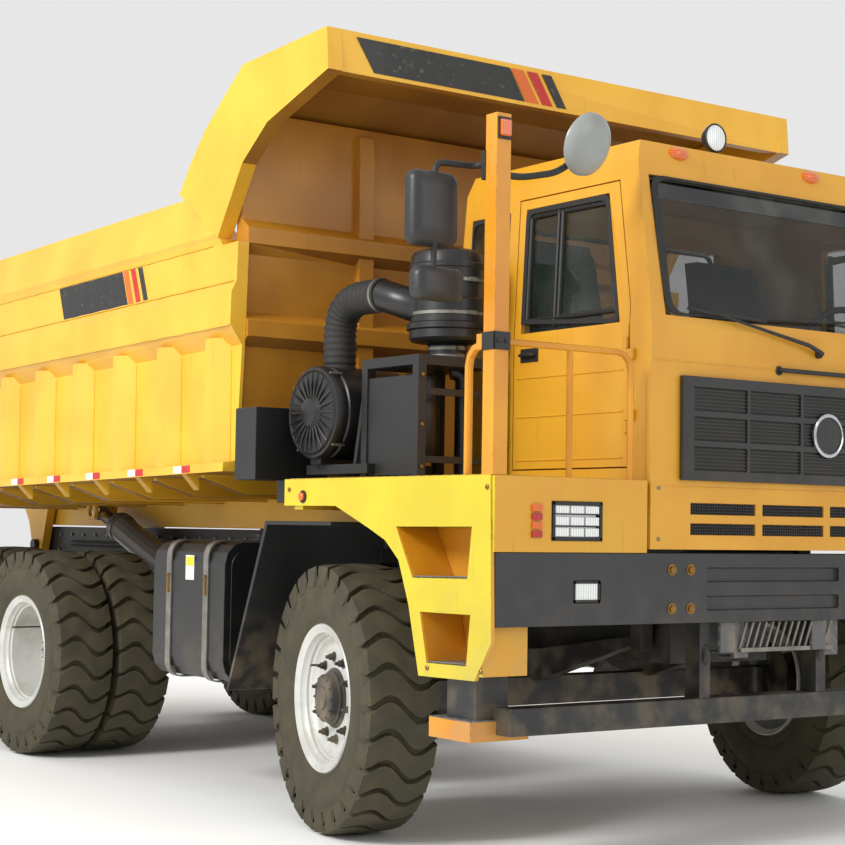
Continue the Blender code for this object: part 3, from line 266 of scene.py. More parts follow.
def curved(path, radius, steps=6):
    """The same path with its corners turned into arcs."""
    points = [Vector(point) for point in path]
    smooth = [points[0]]
    for a, b, c in zip(points, points[1:], points[2:]):
        back, onward = (a - b).normalized(), (c - b).normalized()
        for k in range(steps + 1):
            t = k / steps
            first, last = b + back * radius, b + onward * radius
            smooth.append(first * (1 - t) ** 2 + b * (2 * t * (1 - t)) + last * t * t)
    return smooth + [points[-1]]


def turned(profile, centre, axis="X", sides=64, closed=False):
    """A shape turned about an axis from (along, radius) points."""
    last = len(profile) - 1
    rings = []
    for c, s in circle(1, sides):
        spin = {
            "X": lambda a, r: (a, r * c, r * s),
            "Y": lambda a, r: (r * c, a, r * s),
            "Z": lambda a, r: (r * c, r * s, a),
        }[axis]
        rings.append([Vector(spin(a, r)) + at(*centre) for a, r in profile])
    points, faces = skin(rings, True)
    if not closed:
        ends = {last, 0}
        faces = [face for face in faces if {face[0] % (last + 1), face[1] % (last + 1)} != ends]
    return points, faces


def band(along, radius, inner, half, centre, axis, sides):
    """A flat ring round an axis: a clamp or strap, proud of what it holds."""
    profile = [(along + a * half, r) for a, r in ((-1, inner), (-1, radius), (1, radius), (1, inner))]
    return turned(profile, centre, axis, sides, closed=True)


def knob(centre, radius, height, axis, sides=6):
    """A bolt head or small disc; axis is its outward direction."""
    out = Vector(axis).normalized()
    side = out.orthogonal().normalized()
    up = out.cross(side)
    base = at(*centre)
    rings = []
    for depth, share in ((-0.2, 1.0), (0.8, 1.0), (1.0, 0.82)):
        ring = [(a * side + b * up) * share for a, b in circle(radius, sides)]
        rings.append([base + out * height * depth + point for point in ring])
    return skin(rings)


def piece(name, finish, shapes, body="chassis", edge=0.0, smooth=40):
    """One mesh from several shapes, with its finish, riding on a body."""
    points, faces = [], []
    for shape_points, shape_faces in shapes:
        start = len(points)
        points += [tuple(point) for point in shape_points]
        faces += [tuple(start + i for i in face) for face in shape_faces]
    mesh = bpy.data.meshes.new(name)
    mesh.from_pydata(points, [], faces)
    work = bmesh.new()
    work.from_mesh(mesh)
    bmesh.ops.recalc_face_normals(work, faces=work.faces)
    work.to_mesh(mesh)
    work.free()
    made = bpy.data.objects.new(name, mesh)
    bpy.context.scene.collection.objects.link(made)
    mesh.materials.append(finish.material)
    mesh.shade_smooth()
    mesh.set_sharp_from_angle(angle=math.radians(smooth))
    if edge:
        soften(made, edge)
    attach(made, body)
    return made


black_enamel = enamel(
    "chassis_black_enamel", (0.10, 0.10, 0.105), (0.13, 0.13, 0.13), 0.48, 0.55, 0.3, 1.3
)
tank_black = enamel(
    "tank_black_enamel", (0.075, 0.075, 0.078), (0.10, 0.10, 0.10), 0.36, 0.2, 0.4, 1.2
)
bare_steel = Finish("bare_rolled_steel")
bare_steel.colour(bare_steel.noise(14, 5), (0.62, 0.61, 0.58), (0.38, 0.36, 0.33))
bare_steel.feed("Metallic", bare_steel.noise(7) * 0.5 + 0.4)
bare_steel.feed("Roughness", bare_steel.noise(30, 4) * 0.4 + 0.22)
hose_rubber = Finish("intake_hose_rubber")
hose_rubber.colour(hose_rubber.noise(8, 5), (0.10, 0.10, 0.10), (0.19, 0.18, 0.165))
hose_rubber.feed("Roughness", hose_rubber.noise(30) * 0.25 + 0.6)
hose_rubber.bump(hose_rubber.noise(240), 0.0006, 0.4)

dress(black_enamel, "chassis_frame", "powertrain", "front_axle", "rear_axle_1", "rear_axle_2")
dress(black_enamel, "bogie_springs", "knuckle_left", "knuckle_right")
dress(black_enamel, "mudguard_left", "mudguard_right", "cleaner_stand")

RAIL_FACE = 0.45
AXLES_Y = (3.76, 5.26)
CHAMBER = [
    (-0.10, 0), (-0.10, 0.050), (-0.085, 0.075), (-0.012, 0.078), (-0.010, 0.088),
    (0.010, 0.088), (0.012, 0.078), (0.085, 0.072), (0.10, 0.045), (0.10, 0),
]
BRACKET_BOLTS_Y = (-0.95, -0.60, 0.95, 2.55, 2.70, 4.45, 4.60, 5.95)
rail_bolts, chambers, chamber_bands, lines = [], [], [], []
for side in (-1, 1):
    outward = (side, 0, 0)
    for k in range(24):
        for z in (1.20, 1.44):
            place = (side * RAIL_FACE, 1.10 + 0.21 * k, z)
            rail_bolts.append(knob(place, 0.013, 0.011, outward))
    for y in BRACKET_BOLTS_Y:
        rail_bolts.append(knob((side * RAIL_FACE, y, 1.32), 0.017, 0.013, outward))
    for axle in AXLES_Y:
        x, y, z = side * 0.74, axle + 0.34 * 0.6, 0.88
        chambers.append(turned(CHAMBER, (x, y, z), "Y", 36))
        chamber_bands.append(band(0, 0.092, 0.087, 0.008, (x, y, z), "Y", 36))
        chambers.append(tube([(x, y - 0.08, z), (x, axle + 0.02, z - 0.06)], 0.020, 12))
        hose = [
            (x, y + 0.09, z), (x, y + 0.15, z + 0.05),
            (side * 0.60, y + 0.12, 1.16), (side * 0.475, y + 0.05, 1.28),
        ]
        lines.append(tube(curved(hose, 0.07), 0.012, 10))
    for z, radius in ((1.385, 0.010), (1.355, 0.008)):
        x = side * 0.468
        lines.append(tube([(x, 1.02, z), (x, 5.70, z)], radius, 10))
piece("rail_bolts", bare_steel, rail_bolts, smooth=30)
piece("brake_chambers", tank_black, chambers)
piece("brake_chamber_bands", bare_steel, chamber_bands)
piece("brake_lines", hose_rubber, lines, smooth=60)


# --- Tyres -------------------------------------------------------------------------------------
# Off-road radials: a bulging carcass with deep rubber lugs that run wavily from shoulder to
# shoulder, dusty in the grooves and on the sidewalls.

rubber = Finish("tyre_rubber", Specular_IOR_Level=0.35)
grime = rubber.noise(9, 6).clamped(0.36, 0.70)
tone = rubber.blend(rubber.noise(3, 3), (0.205, 0.195, 0.155), (0.29, 0.27, 0.20))
tone = rubber.blend(grime * 0.50, tone, (0.36, 0.33, 0.25))
scuffed = rubber.edges(0.008) * rubber.noise(38, 3).clamped(0.40, 0.60) * 0.65
rubber.colour(scuffed, tone, (0.42, 0.39, 0.31))
rubber.feed("Roughness", 0.70 + grime * 0.22)
rubber.bump(rubber.noise(210, 3) + rubber.noise(30, 3) * 0.5, 0.0014, 0.5)

tyre_low, tyre_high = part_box("tyre_front_right")
TYRE_RADIUS = (tyre_high.z - tyre_low.z) / 2
BEAD_RADIUS = 0.336
GROOVE = 0.036
LUGS = 27
LUG_STEPS = 25
LUG_REACH = 0.1875
SHOULDER = 0.78
STEER_AT_REST = math.radians(-10.7)

# Half of the carcass as (x, radius), from the bead over the sidewall to the crown.
CARCASS = [
    (0.120, BEAD_RADIUS), (0.150, BEAD_RADIUS + 0.004), (0.158, 0.362), (0.164, 0.384),
    (0.160, 0.392), (0.172, 0.410), (0.182, 0.452), (0.187, 0.500), (0.186, 0.535),
    (0.181, 0.541), (0.182, 0.552), (0.178, 0.590), (0.165, 0.618),
    (0.140, TYRE_RADIUS - GROOVE), (0.070, TYRE_RADIUS - GROOVE + 0.004),
]
CROWN = [(0, TYRE_RADIUS - GROOVE + 0.005)]


def lathed(profile, sides):
    """Rings of an (x, radius) profile turned about the X axis, open and joined up."""
    return skin([[(x, r * c, r * s) for x, r in profile] for c, s in circle(1, sides)], True)


def lug(start):
    """One lug from shoulder to shoulder: wavy over the crown, then down both sidewalls."""
    pitch = TURN / LUGS
    rings = []
    for k in range(LUG_STEPS):
        t = 2 * k / (LUG_STEPS - 1) - 1
        reach = min(1.0, abs(t) / SHOULDER)
        fall = max(0.0, abs(t) - SHOULDER) / (1 - SHOULDER)
        x = math.copysign(LUG_REACH * reach, t)
        sunk = math.copysign(0.030 * fall, t)
        top = TYRE_RADIUS - 0.001 - 0.014 * reach ** 3 - 0.098 * fall
        foot = min(top, TYRE_RADIUS - GROOVE) - 0.012 - 0.012 * fall
        middle = start + pitch * (0.26 * math.sin(TURN * 0.85 * t) + 0.30 * t)
        width = pitch * (0.79 - 0.20 * fall)
        corners = ((-1.06, foot, x - sunk), (-0.96, top, x), (0.96, top, x), (1.06, foot, x - sunk))
        ring = []
        for share, radius, along in corners:
            turn = middle + share * width / 2
            ring.append((along, radius * math.cos(turn), radius * math.sin(turn)))
        rings.append(ring)
    return skin(rings)


def placed(shapes, middle, steered, spin=0.0, flip=1):
    """Shapes drawn about a wheel's own middle, moved to its place in the frame."""
    matrix = Matrix.Translation(middle)
    if steered:
        matrix = matrix @ Matrix.Rotation(STEER_AT_REST, 4, "Z")
    matrix = matrix @ Matrix.Rotation(spin, 4, "X") @ Matrix.Scale(flip, 4, (1, 0, 0))
    return [([matrix @ Vector(point) for point in points], faces) for points, faces in shapes]


def wheel_place(tyre):
    low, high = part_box(tyre)
    return (low + high) / 2


WHEELS = {}
for word, side in (("right", -1), ("left", 1)):
    WHEELS[f"wheel_front_{word}"] = (side, [f"tyre_front_{word}"], f"rim_front_{word}")
    for row in (1, 2):
        name = f"rear{row}_{word}"
        pair = [f"tyre_{name}_outer", f"tyre_{name}_inner"]
        WHEELS[f"wheel_{name}"] = (side, pair, f"rim_{name}")

carcass = lathed(CARCASS + CROWN + [(-x, r) for x, r in reversed(CARCASS)], 96)
tyre_shapes = [carcass] + [lug(TURN * k / LUGS) for k in range(LUGS)]
for index, (body, (side, tyres, rim)) in enumerate(WHEELS.items()):
    for count, tyre in enumerate(tyres):
        spin = 0.13 * index + 0.07 * count
        shapes = placed(tyre_shapes, wheel_place(tyre), "front" in body, spin)
        made = piece(f"{tyre}_tread", rubber, shapes, body, smooth=50)
        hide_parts(tyre)


# --- Rims --------------------------------------------------------------------------------------
# Pressed steel rims in silver paint with a lock ring, a dished disc held by ten black nuts, and a
# dark cast hub. The twin rims are one deep dish with the hub far inside it.

silver = Finish("rim_silver_paint", Coat_Weight=0.1, Coat_Roughness=0.3)
stain = silver.noise(6, 6).clamped(0.45, 0.75)
shine = silver.blend(stain * 0.5, (0.82, 0.82, 0.80), (0.56, 0.54, 0.48))
chip = silver.edges(0.006) * silver.noise(60, 3).clamped(0.52, 0.62) * 0.6
silver.colour(chip, shine, (0.32, 0.22, 0.16))
silver.feed("Metallic", 0.35 - stain * 0.2)
silver.feed("Roughness", 0.36 + stain * 0.25)
silver.bump(silver.noise(120, 3), 0.0006, 0.4)
hub_black = enamel("hub_black_enamel", (0.13, 0.12, 0.12), (0.17, 0.155, 0.14), 0.42, 0.6, 0.6, 1.3)
nut_black = enamel("nut_black_enamel", (0.09, 0.09, 0.09), (0.14, 0.12, 0.11), 0.4, 0.4, 0.9, 1.3)

NUTS = 10
NUT_CIRCLE = 0.205
FRONT_RIM = (0.168, 0.075, -0.168, 0.168, 0.135)
REAR_RIM = (0.168, -0.135, -0.586, -0.022, 0.130)


def rim_profile(outer, disc, inner):
    """A rim's skin from the middle of its outer tyre: lip, barrel and dished disc."""
    return [
        (outer - 0.024, 0.336), (outer - 0.021, 0.368), (outer - 0.008, 0.373), (outer, 0.368),
        (outer - 0.002, 0.358), (outer - 0.010, 0.348), (outer - 0.016, 0.328),
        (outer - 0.040, 0.322), (outer - 0.046, 0.314), (outer - 0.060, 0.312),
        (outer - 0.066, 0.300), (disc + 0.030, 0.292), (disc + 0.012, 0.280),
        (disc + 0.004, 0.262), (disc + 0.012, 0.225), (disc + 0.016, 0.150),
        (disc - 0.012, 0.150), (disc - 0.016, 0.270), (disc - 0.05, 0.296),
        (inner + 0.03, 0.300), (inner + 0.006, 0.330), (inner, 0.330), (inner + 0.002, 0.3355),
    ]


def hub_profile(disc, end, size):
    seat = disc + 0.010
    return [
        (disc - 0.06, 0), (disc - 0.06, 0.150), (seat, 0.152), (seat + 0.012, 0.150),
        (seat + 0.018, size), (end - 0.052, size), (end - 0.046, size - 0.012),
        (end - 0.016, size - 0.016), (end - 0.010, size - 0.030), (end - 0.008, 0.060),
        (end, 0.056), (end, 0),
    ]


def stacked(profile, sides=40, y=0.0, z=0.0):
    """A closed turned solid about a line along X, from (x, radius) points."""
    return skin([[(x, y + a, z + b) for a, b in circle(max(r, 0.0005), sides)] for x, r in profile])


def nut_ring(count, radius, x, size, height, start=0.0):
    """Nuts on their studs round a circle, each with its stud's end and washer, along X."""
    shapes = []
    forms = ((height, size, 6), (height * 1.6, size * 0.5, 10), (height * 0.25, size * 1.35, 16))
    for k in range(count):
        turn = start + TURN * k / count
        y, z = radius * math.cos(turn), radius * math.sin(turn)
        for reach, across, sides in forms:
            steps = [(x - 0.004, across), (x + reach * 0.85, across), (x + reach, across * 0.85)]
            shapes.append(stacked(steps, sides, y, z))
    return shapes


for body, (side, tyres, rim) in WHEELS.items():
    steered = "front" in body
    lip, disc, back, hub_end, hub_size = FRONT_RIM if steered else REAR_RIM
    settled = wheel_place(tyres[0]), steered
    shell = placed([lathed(rim_profile(lip, disc, back), 72)], *settled, 0, side)
    made = piece(f"{rim}_shell", silver, shell, body)
    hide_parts(rim)
    dark = [stacked(hub_profile(disc, hub_end, hub_size))]
    dark += nut_ring(12, hub_size - 0.028, hub_end - 0.016, 0.008, 0.008)
    piece(f"{rim}_hub", hub_black, placed(dark, *settled, 0, side), body)
    nuts = nut_ring(NUTS, NUT_CIRCLE, disc + 0.012, 0.019, 0.030, 0.2)
    piece(f"{rim}_nuts", nut_black, placed(nuts, *settled, 0, side), body, smooth=30)
    valve = [(disc, 0), (disc, 0.006), (lip - 0.03, 0.006), (lip - 0.03, 0)]
    stem = stacked(valve, 10, 0.262)
    piece(f"{rim}_valve", nut_black, placed([stem], *settled, 0.6, side), body)


# --- Bumper and underrun -----------------------------------------------------------------------
# A deep folded steel bumper in dark grey: brass-coloured fixing bolts, a clear fog lamp in each
# recess. Below it hang grey tread plates, a slanted bar grating and lowest steps whose orange is
# painted shade.


def plate(x, y, z):
    """A slab between two values on each axis, in either order."""
    x, y, z = sorted(x), sorted(y), sorted(z)
    ring = ((x[0], y[0]), (x[1], y[0]), (x[1], y[1]), (x[0], y[1]))
    return skin([[at(a, b, height) for a, b in ring] for height in z])


def framed(x, z, rim):
    """The four bars of a flat frame, as (x, z) spans."""
    uprights = [((x[0], x[0] + rim), z), ((x[1] - rim, x[1]), z)]
    return uprights + [(x, (z[0], z[0] + rim)), (x, (z[1] - rim, z[1]))]


bumper_grey = enamel(
    "bumper_grey_enamel", (0.165, 0.165, 0.17), (0.14, 0.14, 0.145), 0.42, 0.3, 0.35, 1.5
)
# Orange paint: on the lowest steps and in the step pockets it is painted shade.
orange = enamel("orange_enamel_and_painted_shade", (0.85, 0.58, 0.11), (0.78, 0.50, 0.09), 0.36, 0.4, 0.7)
under_black = enamel("underrun_black_enamel", (0.085, 0.085, 0.09), (0.12, 0.12, 0.12), 0.42, 0.25, 0.3)
moulded_black = enamel(
    "moulded_black_plastic", (0.075, 0.075, 0.078), (0.10, 0.10, 0.10), 0.55, 0.25, 0.15, 1.6
)
brass = Finish("bolt_brass_plate", Roughness=0.35)
brass.colour(brass.noise(90, 3), (0.66, 0.50, 0.24), (0.42, 0.30, 0.15))
brass.feed("Metallic", brass.noise(60).clamped(0.2, 0.6) * 0.4 + 0.5)
lamp_glass = Finish("lamp_clear_lens", Roughness=0.08, Coat_Weight=0.6)
moulding = lamp_glass.ribs("X", 22.0)
lamp_glass.colour(moulding, (0.80, 0.82, 0.82), (0.97, 0.97, 0.95))
lamp_glass.bump(moulding, 0.002, 0.6)
chrome = Finish("reflector_chrome", Metallic=1.0)
chrome.colour(chrome.noise(30), (0.82, 0.83, 0.84), (0.68, 0.69, 0.70))
chrome.feed("Roughness", chrome.noise(24) * 0.25 + 0.05)


def tread_plate(name, colour, shade):
    """Rolled tread plate: short raised bars that cross at right angles."""
    finish = Finish(name)
    quarter = {"Vector": finish.place, "Rotation": (0, 0, math.pi / 2)}
    crosswise = finish.node("ShaderNodeMapping", {}, quarter)
    bars = finish.ribs("DIAGONAL", 9.0) * finish.ribs("DIAGONAL", 9.0, crosswise)
    bars = bars.clamped(0.35, 0.6)
    soiled = finish.noise(6, 5).clamped(0.45, 0.75) * 0.5
    finish.colour(soiled, finish.blend(bars, colour, shade), DUST)
    finish.feed("Roughness", 0.55 - bars * 0.2)
    finish.feed("Metallic", bars * 0.3)
    finish.bump(bars, 0.003, 0.8)
    return finish


grey_tread = tread_plate("step_tread_plate", (0.36, 0.36, 0.36), (0.55, 0.55, 0.54))

dress(bumper_grey, "front_bumper", edge=0.008)
dress(orange, "handrail_right")
# The lower bar's folds are rounded twice, for a soft, pressed look.
for width in (0.004, 0.005):
    dress(under_black, "underrun_bar", edge=width)

FRONT_Y = box_of("front_bumper")[0].y
front = (0, -1, 0)
bolts = []
for radius, height, sides in ((0.019, 0.016, 6), (0.027, 0.004, 20)):
    for x in (-0.69, -0.57, 0.57, 0.69):
        for z in (1.174, 1.357):
            bolts.append(knob((x, FRONT_Y, z), radius, height, front, sides))
piece("bumper_bolts", brass, bolts, smooth=30)

FOG_RIM = 0.012
FOG_Z = (1.209, 1.306)
fog_frames, fog_lenses, fog_mirrors = [], [], []
for span in ((-1.290, -1.133), (1.133, 1.290)):
    for bar_x, bar_z in framed(span, FOG_Z, FOG_RIM):
        fog_frames.append(plate(bar_x, (FRONT_Y + 0.004, FRONT_Y + 0.0295), bar_z))
    x = (span[0] + FOG_RIM, span[1] - FOG_RIM)
    z = (FOG_Z[0] + FOG_RIM, FOG_Z[1] - FOG_RIM)
    fog_mirrors.append(plate(x, (FRONT_Y + 0.022, FRONT_Y + 0.029), z))
    fog_lenses.append(plate(x, (FRONT_Y + 0.007, FRONT_Y + 0.011), z))
piece("fog_lamp_frames", moulded_black, fog_frames)
piece("fog_lamp_reflectors", chrome, fog_mirrors)
piece("fog_lamp_lenses", lamp_glass, fog_lenses)

STEP_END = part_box("underrun_bar")[1].x
STEP_Z = (0.590, 0.679)
step_skins, step_treads = [], []
for side in (-1, 1):
    x = (side * (STEP_END + 0.003), side * (STEP_END - 0.325))
    step_skins.append(plate(x, (-1.2395, -1.2365), STEP_Z))
    step_skins.append(plate((side * STEP_END, side * (STEP_END + 0.004)), (-1.236, -0.926), STEP_Z))
    step_treads.append(plate(x, (-1.239, -0.926), (STEP_Z[1] + 0.0005, STEP_Z[1] + 0.005)))
# The step skins' orange is painted shade on the yellow paint.
piece("lowest_step_skins", orange, step_skins)
piece("lowest_step_treads", grey_tread, step_treads)

hanging = []
for x, back in ((-0.34, 0.0), (-0.22, 0.03), (0.30, 0.0), (0.42, 0.03)):
    across = (x, x + 0.10)
    hanging.append(plate(across, (-1.37 + back, -1.35 + back), (0.96 - back, 1.104)))
    hanging.append(plate(across, (-1.37 + back, -1.25 + back), (0.955 - back, 0.962 - back)))
piece("tow_step_plates", grey_tread, hanging, edge=0.003)
grating = []
for k in range(14):
    x = -0.16 + k * 0.046
    grating.append(tube([(x, -1.365, 1.10), (x - 0.03, -1.345, 0.97)], 0.007, 8))
grating.append(plate((-0.19, 0.46), (-1.36, -1.335), (0.955, 0.975)))
piece("radiator_guard_bars", bare_steel, grating)
HOOK = [(-1.22, 1.00), (-1.31, 1.00), (-1.34, 0.93), (-1.29, 0.89)]
hooks = [tube(curved([(x, y, z) for y, z in HOOK], 0.03), 0.022) for x in (-0.40, 0.40)]
piece("tow_hooks", black_enamel, hooks)


# --- Fenders and steps -------------------------------------------------------------------------
# Folded yellow side panels with painted shade in orange on the nose and in the step pockets: a
# black-framed headlamp with ribbed lenses, a stack of coloured signals, step pockets with bright
# edges, and a tread deck.


def lens(name, colour, deep):
    """Coloured moulded lens plastic with fine ribs."""
    finish = Finish(name, Roughness=0.16, Coat_Weight=0.7, Coat_Roughness=0.05)
    fine = finish.ribs("Z", 30.0)
    finish.colour(fine * 0.6, colour, deep)
    finish.bump(fine, 0.0012, 0.5)
    return finish


def drawn(outline, x):
    """A flat outline of (y, z) points, drawn between two values of x."""
    return skin([[at(depth, *point) for point in outline] for depth in sorted(x)])


amber = lens("lens_amber", (0.90, 0.42, 0.08), (0.66, 0.26, 0.04))
red = lens("lens_red", (0.72, 0.10, 0.06), (0.46, 0.05, 0.03))
white_lens = lens("lens_white", (0.90, 0.90, 0.88), (0.74, 0.74, 0.72))
deck_tread = tread_plate("deck_tread_plate", (0.62, 0.50, 0.14), (0.82, 0.66, 0.20))
# The fenders' front faces take a darker orange: painted shade.
lime_yellow = enamel(
    "fender_yellow_enamel", (0.82, 0.75, 0.14), (0.77, 0.69, 0.12), 0.34, 0.4, 0.6,
    painted_shade_side=(front, (0.83, 0.58, 0.14)),
)
dress(lime_yellow, "fender_left", "fender_right")

LAMP_Z = (1.489, 1.663)
LAMP_RIM = 0.016
LENS_ROW = 0.050
frames, lenses, backs = [], [], []
lamps = (((-1.424, -1.129), FRONT_Y + 0.0148), ((1.513, 1.745), FRONT_Y - 0.0005))
for span, back in lamps:
    bars = framed(span, LAMP_Z, LAMP_RIM)
    bars += [(span, (LAMP_Z[0] + h, LAMP_Z[0] + h + 0.006)) for h in (0.061, 0.116)]
    frames += [plate(bar_x, (FRONT_Y - 0.006, back), bar_z) for bar_x, bar_z in bars]
    backs.append(plate(span, (back - 0.004, back), LAMP_Z))
    width = (span[1] - span[0] - 2 * LAMP_RIM) / 3
    for row in range(3):
        z = LAMP_Z[0] + LENS_ROW * row
        for k in range(3):
            x = span[0] + LAMP_RIM + width * k
            depth = (FRONT_Y - 0.003, FRONT_Y + 0.002)
            lenses.append(plate((x + 0.003, x + width - 0.003), depth, (z + 0.018, z + 0.056)))
piece("headlamp_frames", moulded_black, frames, edge=0.002)
piece("headlamp_backs", chrome, backs)
piece("headlamp_lenses", lamp_glass, lenses, edge=0.002)
for name, finish, first in (("red", red, 0), ("amber", amber, 1)):
    signals = []
    for k in (first, first + 2):
        z = 1.500 + 0.039 * k
        signals.append(plate((-1.543, -1.486), (FRONT_Y - 0.012, FRONT_Y - 0.0005), (z, z + 0.032)))
    piece(f"signal_lenses_{name}", finish, signals, edge=0.003)

PANEL_X = 1.76
POCKETS = (
    ((-1.247, 1.542), (-1.219, 1.316), (-0.804, 1.308), (-0.664, 1.537)),
    ((-1.244, 1.151), (-1.219, 0.930), (-0.925, 0.925), (-0.866, 1.148)),
)
PANEL_BOLTS = ((-1.36, 1.72), (-1.33, 0.91), (0.30, 1.72), (-0.93, 0.90))
liners, treads, lips, markers, rims, panel_bolts = [], [], [], [], [], []
for side in (-1, 1):
    across = (side * 1.526, side * (PANEL_X - 0.004))
    lip = (side * (PANEL_X - 0.030), side * (PANEL_X - 0.001))
    for pocket in POCKETS:
        liners.append(drawn(pocket, (side * 1.5205, side * 1.524)))
        (front_y, front_z), (rear_y, rear_z) = pocket[1], pocket[2]
        sheet = (
            (front_y + 0.002, front_z), (rear_y - 0.004, rear_z),
            (rear_y - 0.004, rear_z + 0.004), (front_y + 0.002, front_z + 0.004),
        )
        treads.append(drawn(sheet, across))
        lips.append(drawn([(a, b + 0.003) for a, b in sheet], lip))
        for (y1, z1), (y2, z2), lean in ((*pocket[:2], 0.003), (*pocket[2:], -0.003)):
            liners.append(drawn(((y1, z1), (y2, z2), (y2 + lean, z2), (y1 + lean, z1)), across))
    outward = (side, 0, 0)
    markers.append(knob((side * (PANEL_X + 0.004), 0.168, 1.684), 0.021, 0.016, outward, 24))
    rims.append(knob((side * PANEL_X, 0.168, 1.684), 0.032, 0.007, outward, 24))
    panel_bolts += [knob((side * PANEL_X, *place), 0.012, 0.007, outward) for place in PANEL_BOLTS]
# The pocket liners' orange is painted shade in the recesses.
piece("step_pocket_liners", orange, liners)
piece("step_pocket_treads", grey_tread, treads)
piece("step_pocket_edges", bare_steel, lips, edge=0.001)
piece("side_marker_lenses", amber, markers)
piece("side_marker_rims", moulded_black, rims)
piece("side_panel_bolts", brass, panel_bolts, smooth=30)

DECK = 1.774
DECK_Y = (-1.30, 0.335)
sheets = [plate(x, DECK_Y, (DECK + 0.0005, DECK + 0.004)) for x in ((-1.735, -0.845), (1.52, 1.735))]
piece("deck_tread", deck_tread, sheets)


# --- Cab ---------------------------------------------------------------------------------------
# Pressed and welded cab: rubber-sealed glass, folded creases on the doors, slatted vents, a black
# grille with a plain round badge plate, roof markers, a work lamp and long wipers.

CAB_RIGHT, CAB_LEFT = -0.83, 1.51
MIDDLE_X = (CAB_LEFT + CAB_RIGHT) / 2
SILL, EAVES = 2.515, 3.32
TUMBLEHOME, RAKE = 0.04, 0.15
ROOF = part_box("cab_shell")[1].z


def on_screen(x, z, out=0.0):
    """A place on the raked front of the cab."""
    return (x, FRONT_Y + RAKE * max(0, z - SILL) / (EAVES - SILL) - out, z)


def on_side(side, y, z, out=0.0):
    """A place on a side of the cab, which leans in above the sill."""
    wall = CAB_RIGHT if side < 0 else CAB_LEFT
    lean = TUMBLEHOME * min(1, max(0, (z - SILL) / (EAVES - SILL)))
    return (wall + side * (out - lean), y, z)


def side_ring(side, corners, out):
    """Corners on the cab's side, ordered so that their flat faces outwards."""
    ring = [on_side(side, y, z, out) for y, z in corners]
    return ring if side < 0 else ring[::-1]


def surround(corners, width, depth, rounding=0.06):
    """A flat frame round an opening: its corners are places, and width points inwards."""
    outer = curved([*corners, corners[0], corners[1]], rounding, 5)[6:-1]
    middle = sum((Vector(corner) for corner in corners), Vector()) / len(corners)
    first, second, third = (Vector(corner) for corner in corners[:3])
    out = (second - first).cross(third - second).normalized() * depth
    rings = []
    for point in outer:
        inner = point + (middle - point).normalized() * width
        rings.append([at(*place) for place in (point, point + out, inner + out, inner)])
    return skin(rings, True)


seal = Finish("window_seal_rubber")
seal.colour(seal.noise(20, 4), (0.085, 0.085, 0.085), (0.15, 0.145, 0.135))
seal.feed("Roughness", seal.noise(40) * 0.3 + 0.55)
seal.bump(seal.noise(300), 0.0004, 0.4)


def tinted(name, colour, alpha):
    """Toughened glass with a green tint and a film of dust at its edges."""
    finish = Finish(name, Coat_Weight=0.4, IOR=1.5)
    film = finish.noise(4, 6).clamped(0.35, 0.85)
    finish.colour(film * 0.35, colour, (0.45, 0.46, 0.42))
    finish.feed("Roughness", film * 0.12 + 0.02)
    finish.feed("Alpha", film * 0.06 + alpha)
    return finish


screen_glass = tinted("windscreen_glass", (0.12, 0.15, 0.14), 0.34)
side_glass = tinted("side_window_glass", (0.14, 0.19, 0.16), 0.26)
# Nearly opaque dark glass: painted shade in the quarter panes; it also makes the windscreen sun band.
dark_glass_and_painted_shade = tinted("quarter_pane_glass", (0.055, 0.065, 0.06), 0.95)
cab_yellow = enamel("cab_yellow_enamel", (0.85, 0.62, 0.16), (0.81, 0.57, 0.12), 0.32, 0.4)
vent_black = enamel("vent_mesh_black", (0.10, 0.095, 0.08), (0.14, 0.13, 0.11), 0.6, 0.3, 0.2, 1.8)
grille_black = enamel(
    "grille_moulded_black", (0.115, 0.115, 0.115), (0.15, 0.15, 0.145), 0.5, 0.3, 0.3, 2.3
)
coat(screen_glass, "windscreen")
coat(side_glass, "rear_window", "door_glass_right", "door_glass_left")
dress(cab_yellow, "cab_shell", edge=0.008)
dress(cab_yellow, "door_left", "door_right")
dress(grille_black, "grille", edge=0.006)

low, high = SILL + 0.045, ROOF - 0.17
left, right = CAB_LEFT - 0.095, CAB_RIGHT + 0.095
screen = [on_screen(x, z, 0.001) for x, z in ((right, low), (left, low), (left, high), (right, high))]
piece("windscreen_seal", seal, [surround(screen, 0.042, 0.009, 0.09)], edge=0.003)
shade = ((right + 0.02, high - 0.11), (left - 0.02, high - 0.11))
shade += ((left - 0.02, high - 0.01), (right + 0.02, high - 0.01))
strip = [Vector(on_screen(x, z, -0.022)) for x, z in shade]
faces = [[at(x, y + deep, z) for x, y, z in strip] for deep in (0, 0.0015)]
piece("windscreen_sun_band", dark_glass_and_painted_shade, [skin(faces)])
rear = []
for side, z in ((1, 2.62), (-1, 2.62), (-1, 3.18), (1, 3.18)):
    rear.append((MIDDLE_X + side * 0.72, 0.151 - TUMBLEHOME * (z - SILL) / (EAVES - SILL), z))
piece("rear_window_seal", seal, [surround(rear, 0.035, 0.008)], edge=0.002)

